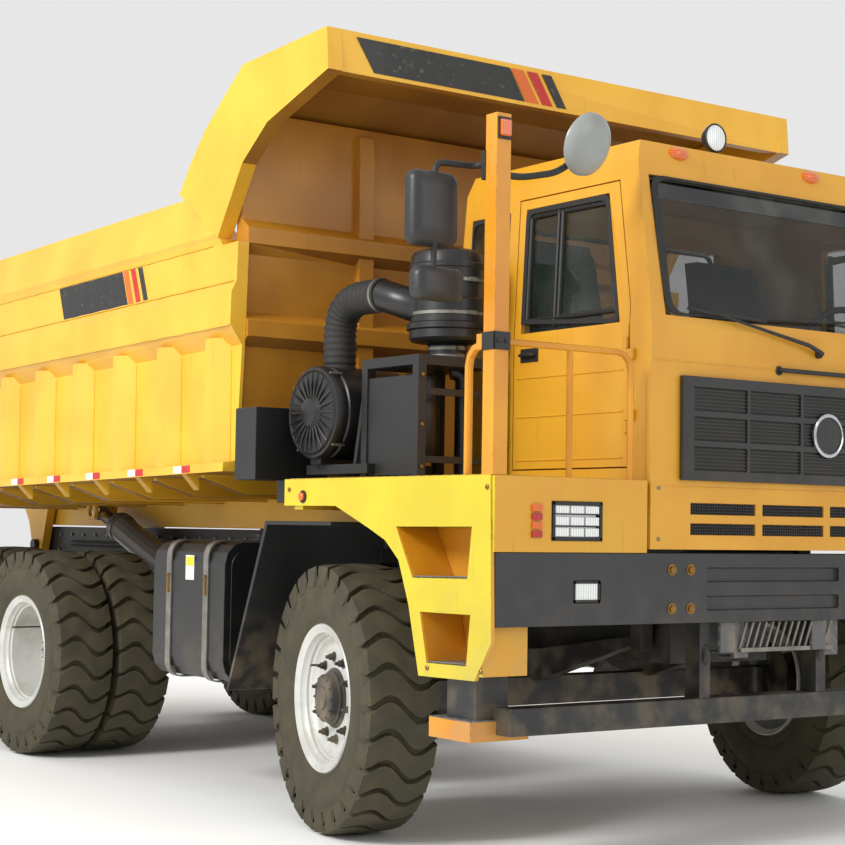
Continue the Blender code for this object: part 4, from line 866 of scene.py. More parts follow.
DOOR_FRONT, DOOR_REAR = -1.24, -0.36
WINDOW = [
    (DOOR_FRONT + 0.07, SILL + 0.02), (DOOR_REAR - 0.05, SILL + 0.02),
    (DOOR_REAR - 0.05, 3.18), (DOOR_FRONT + 0.19, 3.18),
]
SLIDER = [
    ((-0.66, 2.56), (-0.66, 3.165)), ((-1.13, 2.60), (-0.43, 2.60)),
    ((-1.04, 3.14), (-0.43, 3.14)), ((-1.12, 2.60), (-1.03, 3.14)),
    ((-0.69, 2.60), (-0.69, 3.14)), ((-0.44, 2.58), (-0.44, 3.16)),
]
CREASES_Z = (2.305, 2.106, 1.885)
HANDLE = (DOOR_REAR - 0.13, 2.42)
QUARTER = [(-0.272, 2.542), (0.044, 2.542), (0.044, 3.172), (-0.272, 3.172)]
QUARTER_SEAL = [(-0.279, 2.536), (0.049, 2.536), (0.049, 3.179), (-0.279, 3.179)]
GRIP = ((-0.055, 0.004), (-0.05, 0.030), (0.05, 0.030), (0.055, 0.004))
GRAB_RAIL = ((1.95, 0.004), (1.98, 0.05), (2.42, 0.05), (2.45, 0.004))
for side, word in ((-1, "right"), (1, "left")):
    door = f"door_{word}"
    opening = surround(side_ring(side, WINDOW, 0.0015), 0.036, 0.007, 0.05)
    piece(f"{door}_window_seal", seal, [opening], door, edge=0.002)
    slider = []
    for start, end in SLIDER:
        slider.append(tube([on_side(side, *start, -0.018), on_side(side, *end, -0.018)], 0.013, 8))
    piece(f"{door}_window_slider", moulded_black, slider, door)
    creases = []
    for z in CREASES_Z:
        ends = (DOOR_FRONT + 0.04, DOOR_REAR - 0.03)
        creases.append(tube([on_side(side, y, z, -0.001) for y in ends], 0.006, 10))
    piece(f"{door}_creases", cab_yellow, creases, door)
    y, z = HANDLE
    thick = [on_side(side, y, z, out)[0] for out in (0.0005, 0.006)]
    handle = [plate(thick, (y - 0.07, y + 0.07), (z - 0.035, z + 0.035))]
    grip = [on_side(side, y + along, z, out) for along, out in GRIP]
    handle.append(tube(curved(grip, 0.012, 4), 0.009, 10))
    lock = on_side(side, y + 0.045, z - 0.022, 0.006)
    handle.append(knob(lock, 0.009, 0.004, (side, 0, 0), 16))
    piece(f"{door}_handle", moulded_black, handle, door, edge=0.002)
    # The quarter pane is dark glass made nearly opaque: painted shade for the dim cab behind it.
    pane = side_ring(side, QUARTER, -0.006)
    faces = [[at(x - side * deep, y, z) for x, y, z in pane] for deep in (0, 0.004)]
    piece(f"quarter_pane_{word}", dark_glass_and_painted_shade, [skin(faces)])
    rubber_ring = surround(side_ring(side, QUARTER_SEAL, 0.0005), 0.028, 0.006, 0.05)
    piece(f"quarter_seal_{word}", seal, [rubber_ring], edge=0.002)
    bar = [on_side(side, -0.315, z, out) for z, out in GRAB_RAIL]
    piece(f"grab_rail_{word}", moulded_black, [tube(curved(bar, 0.025, 4), 0.012)])

VENT_ROWS_Z = (1.521, 1.618)
vents, slats = [], []
for column in (-0.914, -0.43, 0.054, 0.538):
    x = MIDDLE_X + column
    for z in VENT_ROWS_Z:
        y = (FRONT_Y + 0.009, FRONT_Y + 0.0115)
        vents.append(plate((x + 0.002, x + 0.434), y, (z + 0.002, z + 0.054)))
        for k in range(3):
            y = (FRONT_Y + 0.002, FRONT_Y + 0.008)
            slot = z + 0.011 + 0.014 * k
            slats.append(plate((x + 0.004, x + 0.432), y, (slot, slot + 0.004)))
        for k in range(1, 27):
            bar = x + 0.436 * k / 27
            y = (FRONT_Y + 0.004, FRONT_Y + 0.009)
            slats.append(plate((bar - 0.0015, bar + 0.0015), y, (z + 0.003, z + 0.053)))
piece("nose_vent_backs", vent_black, vents)
piece("nose_vent_mesh", moulded_black, slats)

GRILLE_Y = box_of("grille")[0].y
bars, backs = [], []
for row in range(3):
    z = 1.83 + row * 0.142
    for column in range(5):
        x = MIDDLE_X - 0.92 + column * 0.374
        y = (GRILLE_Y + 0.0125, GRILLE_Y + 0.0148)
        backs.append(plate((x + 0.002, x + 0.352), y, (z + 0.002, z + 0.108)))
        for k in range(6):
            y = (GRILLE_Y + 0.006, GRILLE_Y + 0.012)
            slot = z + 0.010 + 0.017 * k
            bars.append(plate((x + 0.004, x + 0.350), y, (slot, slot + 0.005)))
piece("grille_mesh_backs", vent_black, backs)
piece("grille_mesh_bars", grille_black, bars)
BADGE = (0.34, GRILLE_Y, 2.028)
ring = [(0.0, 0.112), (-0.010, 0.110), (-0.014, 0.102), (-0.012, 0.094), (0.0, 0.092)]
piece("badge_ring", chrome, [turned(ring, BADGE, "Y", closed=True)])
piece("badge_blank_disc", grille_black, [knob(BADGE, 0.093, 0.008, front, 48)])

MARKER = [(0.0, 0), (0.0, 0.034), (-0.020, 0.032), (-0.034, 0.020), (-0.038, 0)]
roof_lamps, roof_bases = [], []
for x in (-0.517, 0.417, 1.20):
    where = on_screen(x, 3.378, -0.012)
    points, faces = turned(MARKER, where, "Y", 32)
    stretched = [(x + (point[0] - x) * 1.9, point[1], point[2]) for point in points]
    roof_lamps.append((stretched, faces))
    roof_bases.append(plate((x - 0.075, x + 0.075), (where[1] - 0.004, where[1] + 0.02), (3.340, 3.416)))
piece("roof_marker_lenses", amber, roof_lamps)
piece("roof_marker_bases", cab_yellow, roof_bases, edge=0.004)

WORK = (-0.226, -1.20, 3.505)
bowl = [
    (0.075, 0), (0.072, 0.025), (0.050, 0.052), (0.015, 0.071), (0.0, 0.074), (-0.006, 0.070),
    (-0.002, 0.064),
]
stalk = tube([(WORK[0], -1.18, 3.445), (WORK[0], -1.18, 3.415)], 0.012)
pivot = tube([(WORK[0] - 0.03, -1.18, 3.424), (WORK[0] + 0.03, -1.18, 3.424)], 0.010)
piece("work_lamp_shell", moulded_black, [turned(bowl, WORK, "Y", 48), stalk, pivot])
dome = [(-0.001, 0.066), (-0.008, 0.045), (-0.011, 0.0)]
piece("work_lamp_lens", lamp_glass, [turned(dome, WORK, "Y", 48)])
mirror = [(0.002, 0.064), (0.03, 0.04), (0.045, 0.0)]
piece("work_lamp_reflector", chrome, [turned(mirror, WORK, "Y", 48)])

wipers = []
WIPERS = (
    ((0.30, 2.44), (0.20, 2.475), (-0.42, 2.585), (-0.60, 2.60), (-0.08, 2.575)),
    ((1.28, 2.44), (1.18, 2.475), (0.60, 2.585), (0.42, 2.60), (0.94, 2.575)),
)
for pivot, elbow, tip, start, end in WIPERS:
    arm = [(pivot, 0.010), (pivot, 0.030), (elbow, 0.036), (tip, 0.030)]
    arm = [on_screen(*place, out) for place, out in arm]
    wipers.append(tube(arm, [0.014, 0.013, 0.011, 0.006], 8))
    wipers.append(knob(on_screen(*pivot), 0.022, 0.022, front, 20))
    yoke = [on_screen(*start, 0.020), on_screen(*tip, 0.024), on_screen(*end, 0.020)]
    wipers.append(tube(yoke, 0.008, 8))
    wipers.append(tube([on_screen(*start, 0.011), on_screen(*end, 0.011)], 0.004, 6))
piece("wipers", moulded_black, wipers)

nose_bolts = []
for x in (CAB_RIGHT + 0.05, CAB_LEFT - 0.05):
    nose_bolts += [knob((x, FRONT_Y, z), 0.010, 0.006, front) for z in (1.50, 1.74)]
piece("nose_bolts", bare_steel, nose_bolts, smooth=30)
seams = []
for z, radius in ((1.748, 0.004), (2.345, 0.005)):
    ends = (MIDDLE_X - 1.16, MIDDLE_X + 1.16)
    seams.append(tube([(x, FRONT_Y + 0.001, z) for x in ends], radius, 8))
piece("nose_pressing_lines", cab_yellow, seams)
BAR_Z = 2.340
BAR = ((0.02, 0.004), (0.02, -0.030), (1.10, -0.030), (1.10, 0.004))
path = [(x, FRONT_Y + out, BAR_Z) for x, out in BAR]
grab = [tube(curved(path, 0.02, 4), 0.012)]
grab += [knob((x, FRONT_Y, BAR_Z), 0.024, 0.006, front, 20) for x in (0.02, 0.56, 1.10)]
piece("nose_grab_bar", moulded_black, grab)


# --- Mirrors and post lamp ---------------------------------------------------------------------
# Moulded mirror heads with rounded backs and bright glass on bent steel arms, a round front
# mirror on its own tube, and an amber lamp at the top of the square corner post.

mirror_black = enamel(
    "mirror_moulded_black", (0.13, 0.13, 0.135), (0.17, 0.17, 0.17), 0.45, 0.2, 0.25, 3.0
)
mirror_grey = enamel(
    "mirror_painted_grey", (0.60, 0.62, 0.61), (0.52, 0.53, 0.52), 0.3, 0.1, 0.3, 3.0
)
mirror_glass = Finish("mirror_silvering", Metallic=1.0)
mirror_glass.colour(mirror_glass.noise(3), (0.80, 0.83, 0.84), (0.70, 0.73, 0.74))
mirror_glass.feed("Roughness", mirror_glass.noise(8, 5).clamped(0.5, 0.9) * 0.2 + 0.03)


def rounded(width, height, radius, steps=6):
    """A rectangle with round corners about its middle, as flat points."""
    points = []
    for quarter, (sx, sz) in enumerate(((1, 1), (-1, 1), (-1, -1), (1, -1))):
        for k in range(steps + 1):
            turn = math.pi / 2 * (quarter + k / steps)
            x = sx * (width / 2 - radius) + radius * math.cos(turn)
            points.append((x, sz * (height / 2 - radius) + radius * math.sin(turn)))
    return points


def mirror_head(x, z, y):
    """A head between x and z limits: rounded back bulging forwards, flat rim behind."""
    middle = ((x[0] + x[1]) / 2, (z[0] + z[1]) / 2)
    rings = []
    for depth, share in ((0.0, 1.0), (-0.030, 1.0), (-0.052, 0.95), (-0.066, 0.84), (-0.072, 0.55)):
        outline = rounded((x[1] - x[0]) * share, (z[1] - z[0]) * share, 0.045 * share)
        rings.append([at(middle[0] + a, y + depth, middle[1] + b) for a, b in outline])
    outline = rounded(x[1] - x[0] - 0.022, z[1] - z[0] - 0.022, 0.036)
    sheet = []
    for depth in (0.0005, 0.003):
        sheet.append([at(middle[0] + a, y + depth, middle[1] + b) for a, b in outline])
    return skin(rings), skin(sheet)


def discs(centre, axis, steps, sides=40):
    """Rings about an axis through a place, from (along, radius) steps."""
    across = axis.orthogonal().normalized()
    above = axis.cross(across)
    rings = []
    for along, radius in steps:
        places = [centre + axis * along + across * a + above * b for a, b in circle(radius, sides)]
        rings.append([at(*place) for place in places])
    return rings


DISC_BACK = (
    (0.050, 0.03), (0.046, 0.075), (0.030, 0.120), (0.008, 0.146), (-0.010, 0.150), (-0.016, 0.144),
)
DISC_GLASS = ((-0.014, 0.136), (-0.018, 0.136))
POST_ARM = [(-1.72, -1.30, 3.17), (-1.72, -1.20, 3.17), (-1.93, -1.165, 3.17), (-1.93, -1.165, 2.60)]
DISC_ARM = [(-1.72, -1.295, 3.13), (-1.50, -1.24, 3.14), (-1.25, -1.22, 3.20), (-1.16, -1.27, 3.30)]
mirrors = {-1: ("mirrors_right", -1.12), 1: ("mirrors_left", FRONT_Y + 0.018)}
for side, (node, front_edge) in mirrors.items():
    heads, glasses, arms = [], [], []
    for x, z in (((1.80, 2.06), (2.79, 3.13)), ((1.76, 2.03), (2.55, 2.70))):
        head, glass = mirror_head(sorted(side * value for value in x), z, front_edge)
        heads.append(head)
        glasses.append(glass)
    if side < 0:
        arms.append(tube(curved(POST_ARM, 0.05), 0.015))
        arms.append(plate((-1.765, -1.675), (-1.318, -1.290), (3.09, 3.22)))
        arms += [knob((-1.72, -1.290, z), 0.010, 0.009, (0, 1, 0)) for z in (3.11, 3.20)]
        arms.append(tube(curved(DISC_ARM, 0.08), 0.016))
        facing = Vector((0.15, -1.0, -0.35)).normalized()
        disc = Vector((-1.15, -1.30, 3.33))
        piece("front_mirror_back", mirror_grey, [skin(discs(disc, facing, DISC_BACK))], smooth=50)
        glasses.append(skin(discs(disc, facing, DISC_GLASS)))
        arms.append(tube([DISC_ARM[-1], disc - facing * 0.02], 0.02))
    else:
        y = FRONT_Y - 0.016
        arms.append(plate((1.41, 1.48), (FRONT_Y - 0.030, FRONT_Y - 0.0005), (2.36, 2.46)))
        bent = [(1.445, y, 2.41), (1.90, y, 2.50), (1.93, y, 3.10)]
        arms.append(tube(curved(bent, 0.05), 0.014))
        arms += [knob((1.445, FRONT_Y - 0.03, z), 0.009, 0.008, front) for z in (2.375, 2.445)]
    made = piece(f"{node}_heads", mirror_black, heads, smooth=50)
    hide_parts(node)
    piece(f"{node}_arms", moulded_black, arms)
    piece(f"{node}_glass", mirror_glass, glasses)

POST_LEFT, POST_RIGHT = -1.76, -1.68
POST_Y = FRONT_Y + 0.005
CLAMP_Z = (2.325, 2.405)
lamp = plate((POST_LEFT + 0.012, POST_RIGHT - 0.012), (POST_Y - 0.024, POST_Y - 0.0005), (3.275, 3.350))
piece("post_lamp_lens", amber, [lamp], edge=0.008)
base = plate((POST_LEFT + 0.004, POST_RIGHT - 0.004), (POST_Y - 0.008, POST_Y - 0.0003), (3.262, 3.362))
piece("post_lamp_base", moulded_black, [base], edge=0.003)
clamp = [
    plate((POST_LEFT - 0.006, POST_RIGHT + 0.006), (POST_Y - 0.006, POST_Y - 0.0005), CLAMP_Z),
    plate((POST_LEFT - 0.006, POST_LEFT - 0.0005), (POST_Y - 0.006, POST_Y + 0.085), CLAMP_Z),
]
for x in (POST_LEFT + 0.018, POST_RIGHT - 0.018):
    clamp.append(knob((x, POST_Y - 0.006, 2.365), 0.010, 0.008, front))
piece("post_clamp", moulded_black, clamp, edge=0.002)


# --- Air cleaner group -------------------------------------------------------------------------
# Rolled black canisters on an angle-iron stand, with worm-drive clamps on rubber hoses: a
# pleated lying drum, a thick corrugated elbow and an upright pre-cleaner with its rain cap.

CANISTER = (-1.10, -0.15, 0.0)
CANISTER_SHAPE = [
    (2.402, 0), (2.402, 0.100), (2.470, 0.100), (2.482, 0.112), (2.492, 0.190), (2.505, 0.200),
    (2.545, 0.200), (2.552, 0.214), (2.580, 0.214), (2.588, 0.200), (2.700, 0.199),
    (2.706, 0.204), (2.714, 0.199), (2.860, 0.200), (2.866, 0.206), (2.884, 0.206),
    (2.890, 0.200), (2.925, 0.197), (2.948, 0.186), (2.962, 0.150), (2.974, 0.100), (2.975, 0),
]
canister = [turned(CANISTER_SHAPE, CANISTER, "Z", 56)]
made = piece("pre_cleaner_canister", tank_black, canister, smooth=35)
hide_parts("air_cleaner")
clamps = []
for z, radius in ((2.415, 0.103), (2.455, 0.103), (2.630, 0.2015), (2.800, 0.2015)):
    clamps.append(band(z, radius + 0.0025, radius - 0.002, 0.008, CANISTER, "Z", 48))
    x, y = CANISTER[0], CANISTER[1] - radius
    clamps.append(plate((x - 0.02, x + 0.02), (y - 0.016, y + 0.002), (z - 0.010, z + 0.010)))

DRUM = (0.0, 0.47, 2.135)
DRUM_SHAPE = [
    (-1.530, 0), (-1.530, 0.205), (-1.522, 0.240), (-1.505, 0.250), (-1.478, 0.250),
    (-1.472, 0.242), (-1.455, 0.242), (-1.448, 0.250), (-1.10, 0.250), (-1.09, 0.244),
    (-1.03, 0.244), (-1.02, 0.225), (-1.02, 0),
]
DRUM_HUB = [
    (-1.560, 0), (-1.560, 0.060), (-1.556, 0.072), (-1.545, 0.080), (-1.528, 0.095), (-1.528, 0),
]
COVER_RINGS = (
    ([(-1.527, 0.078), (-1.540, 0.084), (-1.527, 0.092)], 40),
    ([(-1.526, 0.212), (-1.536, 0.219), (-1.522, 0.228)], 56),
)


def on_drum(x, radius, turn):
    return (x, DRUM[1] + radius * math.cos(turn), DRUM[2] + radius * math.sin(turn))


ribs = []
for k in range(24):
    turn = TURN * k / 24
    spoke = [on_drum(x, r, turn) for x, r in ((-1.531, 0.085), (-1.536, 0.14), (-1.528, 0.215))]
    ribs.append(tube(spoke, 0.007, 8))
drum = [turned(DRUM_SHAPE, DRUM, "X", 56), turned(DRUM_HUB, DRUM, "X", 40)]
drum.append(plate((-1.50, -1.06), (0.42, 0.52), (1.8605, 1.95)))
made = piece("intake_drum_shell", tank_black, drum, smooth=35)
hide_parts("intake_drum")
ribs += [turned(profile, DRUM, "X", sides, closed=True) for profile, sides in COVER_RINGS]
piece("intake_drum_cover_ribs", tank_black, ribs)
for turn in (0.6, 2.2, 3.9, 5.4):
    clip = [on_drum(x, 0.252, turn) for x in (-1.515, -1.470, -1.440)]
    clamps.append(tube(clip, [0.006, 0.010, 0.006], 8))

HOSE_RINGS = 90
elbow = curved([(-1.36, 0.47, 2.33), (-1.36, 0.47, 2.742), (-1.33, 0.10, 2.742)], 0.20, 16)
length = [0.0]
for first, second in zip(elbow, elbow[1:]):
    length.append(length[-1] + (second - first).length)
fine = [elbow[0]]
for k in range(1, HOSE_RINGS):
    distance = length[-1] * k / (HOSE_RINGS - 1)
    i = max(n for n in range(len(length) - 1) if length[n] <= distance)
    share = (distance - length[i]) / (length[i + 1] - length[i])
    fine.append(elbow[i].lerp(elbow[i + 1], min(1, share)))
radii = []
for k in range(HOSE_RINGS):
    plain = k < 8 or k > 82
    radii.append(0.088 if plain else 0.086 + 0.004 * math.sin(k * TURN / 4.5))
piece("intake_elbow_hose", hose_rubber, [tube(fine, radii, 28)], smooth=60)
for k in (4, 86):
    ahead = (fine[k + 1] - fine[k - 1]).normalized() * 0.008
    clamps.append(tube([fine[k] - ahead, fine[k] + ahead], 0.0905, 32))
transfer = curved([(-1.33, 0.11, 2.742), (-1.30, -0.02, 2.70), (-1.22, -0.10, 2.66)], 0.06)
piece("canister_inlet_pipe", tank_black, [tube(transfer, 0.084, 24)], smooth=60)
piece("hose_clamps", bare_steel, clamps)

STAND_X = (-1.42, -0.92)
STAND_Y = box_of("cleaner_stand")[0].y
RESERVOIR = [(1.90, 0), (1.90, 0.085), (1.915, 0.095), (2.30, 0.095), (2.318, 0.085), (2.325, 0)]
stand_bolts, cross = [], []
for x in (STAND_X[0] + 0.025, STAND_X[1] - 0.025):
    for z in (1.84, 2.05, 2.30):
        stand_bolts.append(knob((x, STAND_Y, z), 0.011, 0.008, front))
for z in (1.86, 2.20):
    y = (STAND_Y + 0.010, STAND_Y + 0.022)
    cross.append(plate((STAND_X[0] + 0.04, STAND_X[1] - 0.04), y, (z, z + 0.035)))
piece("stand_cross_bars", black_enamel, cross, edge=0.002)
piece("stand_bolts", brass, stand_bolts, smooth=30)
upright = curved([(-1.02, -0.18, 1.80), (-1.02, -0.18, 2.34), (-1.08, -0.15, 2.34)], 0.06)
vessel = [turned(RESERVOIR, (-1.24, -0.12, 0), "Z", 40), tube(upright, 0.040, 16)]
piece("stand_reservoir", tank_black, vessel, smooth=35)


# --- Tanks and silencer ------------------------------------------------------------------------
# Pressed and seam-welded vessels strapped to the rails with rubber-lined bands: filler caps,
# drain plugs, a blank label, and a banded silencer with a scorched tail pipe.


def label(name, colour, shade):
    """Printed film, a little rough and faded."""
    finish = Finish(name, Roughness=0.4)
    finish.colour(finish.noise(25, 5), colour, shade)
    finish.bump(finish.noise(120), 0.0002, 0.3)
    return finish


hoist_grey = enamel("hoist_grey_enamel", (0.45, 0.45, 0.44), (0.40, 0.40, 0.39), 0.35, 0.5, 0.4)
dress(tank_black, "fuel_tank", "air_tank", "hydraulic_tank")
dress(hoist_grey, "silencer", "hoist_tube_left", "hoist_tube_right")

PROUD = 0.004
STRAP = ((-0.028, -PROUD), (0.028, -PROUD), (0.028, PROUD), (-0.028, PROUD))
FILLER = [
    (-0.004, 0), (-0.004, 0.062), (0.022, 0.062), (0.028, 0.052), (0.046, 0.050),
    (0.052, 0.040), (0.052, 0),
]
straps, caps, plugs, pads = [], [], [], []
for name, side in (("fuel_tank", -1), ("air_tank", 1)):
    low, high = box_of(name)
    outer, inner = (low.x, high.x) if side < 0 else (high.x, low.x)
    edge = outer + side * PROUD
    bolt = outer + side * 0.012
    for share in (0.24, 0.76):
        y = low.y + (high.y - low.y) * share
        above, below = high.z + PROUD, low.z - PROUD
        path = curved([(inner, y, above), (edge, y, above), (edge, y, below), (inner, y, below)], 0.10, 8)
        rings = []
        for i, point in enumerate(path):
            ahead = (path[min(i + 1, len(path) - 1)] - path[max(i - 1, 0)]).normalized()
            out = Vector((ahead.z, 0, -ahead.x)) * -side
            rings.append([at(*(point + Vector((0, along, 0)) + out * t)) for along, t in STRAP])
        straps.append(skin(rings))
        plugs.append(tube([(bolt, y, high.z - 0.30), (bolt, y, high.z - 0.20)], 0.009, 10))
        plugs.append(knob((bolt, y, high.z - 0.20), 0.014, 0.012, (0, 0, 1)))
    x, y = outer * 0.6 + inner * 0.4, (low.y + high.y) / 2
    caps.append(turned(FILLER, (x, y, high.z), "Z", 40))
    ridge = (high.z + 0.046, high.z + 0.060)
    caps.append(plate((x - 0.012, x + 0.012), (y - 0.058, y + 0.058), ridge))
    plugs.append(knob((x, y, low.z), 0.022, 0.016, (0, 0, -1)))
    rim = rounded(abs(outer - inner) - 0.08, high.z - low.z - 0.08, 0.10)
    x, z = (outer + inner) / 2, (low.z + high.z) / 2
    for y, way in ((low.y, -1), (high.y, 1)):
        sheet = [[at(x + a, y + way * out, z + b) for a, b in rim] for out in (0.001, 0.007)]
        pads.append(skin(sheet))
piece("tank_straps", bare_steel, straps, smooth=50)
piece("tank_caps", moulded_black, caps, edge=0.003)
piece("tank_plugs", brass, plugs, smooth=30)
piece("tank_end_pressings", tank_black, pads, edge=0.003)

label_white = label("label_white", (0.90, 0.90, 0.87), (0.80, 0.79, 0.74))
label_yellow = label("label_yellow", (0.90, 0.84, 0.12), (0.80, 0.74, 0.14))
x = box_of("fuel_tank")[0].x
sticker = plate((x - 0.0008, x - 0.0003), (1.50, 1.60), (1.22, 1.36))
piece("fuel_label_white", label_white, [sticker])
heading = plate((x - 0.0013, x - 0.0009), (1.506, 1.594), (1.30, 1.352))
piece("fuel_label_yellow", label_yellow, [heading])

exhaust = Finish("exhaust_scorched_steel", Metallic=0.8)
exhaust.colour(exhaust.noise(6, 5), (0.34, 0.27, 0.21), (0.20, 0.17, 0.15))
exhaust.feed("Roughness", exhaust.noise(30) * 0.3 + 0.5)
exhaust.bump(exhaust.noise(90, 4), 0.0008, 0.5)
low, high = box_of("silencer")
x, z = (low.x + high.x) / 2, (low.z + high.z) / 2
radius = (high.z - low.z) / 2
bands = []
for share in (0.2, 0.8):
    along = low.y + (high.y - low.y) * share
    bands.append(band(along, radius + 0.005, radius - 0.004, 0.02, (x, 0, z), "Y", 48))
piece("silencer_bands", bare_steel, bands)
tail = [(x, high.y - 0.01, z + 0.02), (x, high.y + 0.14, z + 0.02), (x, high.y + 0.16, z - 0.14)]
tail = curved(tail, 0.07, 8)
flare = [tail[-1], tail[-1] + Vector((0, 0.004, -0.03))]
piece("silencer_tail_pipe", exhaust, [tube(tail, 0.055, 24), tube(flare, 0.060, 24)], smooth=60)


# --- Tipping body ------------------------------------------------------------------------------
# Welded ribbed body in deep yellow with sprayed stripes, blank dark name plates, reflector tape
# and rolled weld beads, and the red, amber and white tail lamps under its floor.

# Painted shade: faces that look down take a dark brown, and the front wall under the canopy is a darker
# copy of the bed yellow.
painted_underside_shade = ((0, 0, -1), (0.50, 0.32, 0.12))
bed_yellow = enamel("bed_yellow_enamel", (0.92, 0.72, 0.20), (0.88, 0.66, 0.16), painted_shade_side=painted_underside_shade)
wall_painted_shade = enamel("front_wall_painted_shade_enamel", (0.76, 0.53, 0.15), (0.68, 0.45, 0.12), painted_shade_side=painted_underside_shade)
dress(bed_yellow, "bed_floor", edge=0.006)
dress(bed_yellow, "bed_canopy", edge=0.012)
dress(bed_yellow, "bed_side_right", "bed_side_left")
dress(wall_painted_shade, "bed_front_wall")

BED_HINGE, BED_PITCH = (6.20, 1.35), math.radians(1.05)


def lifted(x, y, z):
    """A place given with the body level, moved to where it rests, a little nose-up."""
    dy, dz = y - BED_HINGE[0], z - BED_HINGE[1]
    cos, sin = math.cos(BED_PITCH), math.sin(BED_PITCH)
    return (x, BED_HINGE[0] + dy * cos + dz * sin, BED_HINGE[1] + dz * cos - dy * sin)


def decal(corners, out):
    """A thin sheet over corners on the level body, standing out along a direction."""
    near = [Vector(lifted(*corner)) + Vector(out) * 0.0004 for corner in corners]
    return skin([[at(*place) for place in near], [at(*(place + Vector(out) * 0.001)) for place in near]])


def sprayed(name, colour, worn):
    finish = Finish(name, Coat_Weight=0.1)
    chips = finish.noise(34, 5).clamped(0.60, 0.72) * 0.25
    finish.colour(chips, finish.blend(finish.noise(3, 4), colour, worn), DUST)
    finish.feed("Roughness", finish.noise(12) * 0.2 + 0.38)
    finish.bump(finish.noise(160, 2), 0.0006, 0.3)
    return finish


# For each paint: its two tones, and its span across the canopy and along the sides.
STRIPES = {
    "dark": ((0.085, 0.095, 0.09), (0.13, 0.14, 0.13), (-1.514, -0.503), (3.362, 2.442)),
    "orange": ((0.88, 0.42, 0.08), (0.80, 0.38, 0.10), (-0.495, -0.405), (2.432, 2.365)),
    "red": ((0.78, 0.13, 0.08), (0.68, 0.14, 0.10), (-0.380, -0.305), (2.330, 2.270)),
    "black": ((0.11, 0.11, 0.10), (0.17, 0.165, 0.15), (-0.275, -0.205), (2.232, 2.175)),
    "white": ((0.90, 0.89, 0.86), (0.82, 0.81, 0.77), None, None),
}
CANOPY_FRONT, CANOPY_Z = 0.075, (3.792, 3.966)
SIDE_FACE, SIDE_Z = 1.665, (2.800, 3.010)
TAPE_FACE, TAPE_Z, TAPE_LENGTH = 1.695, (1.742, 1.783), 0.098
RIB_Y, RIB_PITCH = 1.586, 0.582
for tone, (colour, worn, canopy_x, side_y) in STRIPES.items():
    sheets = []
    if canopy_x:
        (first, last), (low, high) = canopy_x, CANOPY_Z
        outline = ((first, high), (last, high), (last + 0.11, low), (first + 0.11, low))
        sheets.append(decal([(x, CANOPY_FRONT, z) for x, z in outline], front))
        (first, last), (low, high) = side_y, SIDE_Z
        outline = ((first, high), (last, high), (last - 0.08, low), (first - 0.08, low))
        for side in (-1, 1):
            sheets.append(decal([(side * SIDE_FACE, y, z) for y, z in outline], (side, 0, 0)))
    if tone in ("red", "white"):
        for side in (-1, 1):
            for k in range(8):
                first = RIB_Y + RIB_PITCH * k - (0.10 if tone == "red" else 0.0)
                last = first + TAPE_LENGTH
                low, high = TAPE_Z
                outline = ((first, high), (last, high), (last, low), (first, low))
                sheets.append(decal([(side * TAPE_FACE, y, z) for y, z in outline], (side, 0, 0)))
    piece(f"body_stripes_{tone}", sprayed(f"stripe_{tone}", colour, worn), sheets, "dump_body")

SEAMS = ((1.06, 6.90, 2.795, 1.667), (1.30, 6.50, 3.018, 1.667), (1.06, 6.90, 2.545, 1.694))
beads = []
for side in (-1, 1):
    for first, last, z, x in SEAMS:
        path = []
        for k in range(61):
            y = first + (last - first) * k / 60
            path.append(lifted(side * x, y, z + 0.0006 * math.sin(k * 1.9)))
        beads.append(tube(path, [0.005 + 0.0012 * math.sin(k * 2.3) for k in range(61)], 8))
    for k in range(9):
        for shift in (-0.128, 0.128):
            y = RIB_Y + (k - 0.5) * RIB_PITCH + shift
            path = [lifted(side * 1.6165, y, 1.80 + 0.062 * n) for n in range(11)]
            beads.append(tube(path, [0.005 + 0.001 * math.sin(n * 2.1) for n in range(11)], 6))
piece("body_weld_beads", bed_yellow, beads, "dump_body")

TAIL_Y = 6.30
TAIL_LENS = [(0.0, 0.048), (0.010, 0.046), (0.016, 0.034), (0.019, 0)]
tail_cases, tail_lenses = [], {"amber": [], "red": [], "white": []}
for side in (-1, 1):
    x = side * 0.98
    span = (x - side * 0.01, x + side * 0.35)
    tail_cases.append(plate(span, (TAIL_Y, TAIL_Y + 0.055), (1.20, 1.33)))
    span = (side * 0.44, x + side * 0.02)
    tail_cases.append(plate(span, (TAIL_Y + 0.006, TAIL_Y + 0.030), (1.235, 1.295)))
    for k, lenses in enumerate(tail_lenses.values()):
        centre = (x + side * (0.055 + 0.112 * k), TAIL_Y + 0.054, 1.265)
        lenses.append(turned(TAIL_LENS, centre, "Y", 32))
piece("tail_lamp_cases", moulded_black, tail_cases, edge=0.004)
for word, finish in (("red", red), ("amber", amber), ("white", white_lens)):
    piece(f"tail_lamp_{word}", finish, tail_lenses[word])


# --- Hoist cylinders ---------------------------------------------------------------------------
# Bright hard-chromed rods running out of grey tubes with steel collars at their feet and
# mouths, and rubber hydraulic hoses on brass fittings at the foot of each tube.

rod_chrome = Finish("hoist_rod_chrome", Metallic=1.0)
film = rod_chrome.noise(14, 5, (1, 1, 0.3)).clamped(0.45, 0.75)
rod_chrome.colour(film * 0.6, (0.78, 0.79, 0.80), (0.42, 0.38, 0.31))
rod_chrome.feed("Roughness", film * 0.30 + 0.12)
coat(rod_chrome, "hoist_rod_left", "hoist_rod_right")

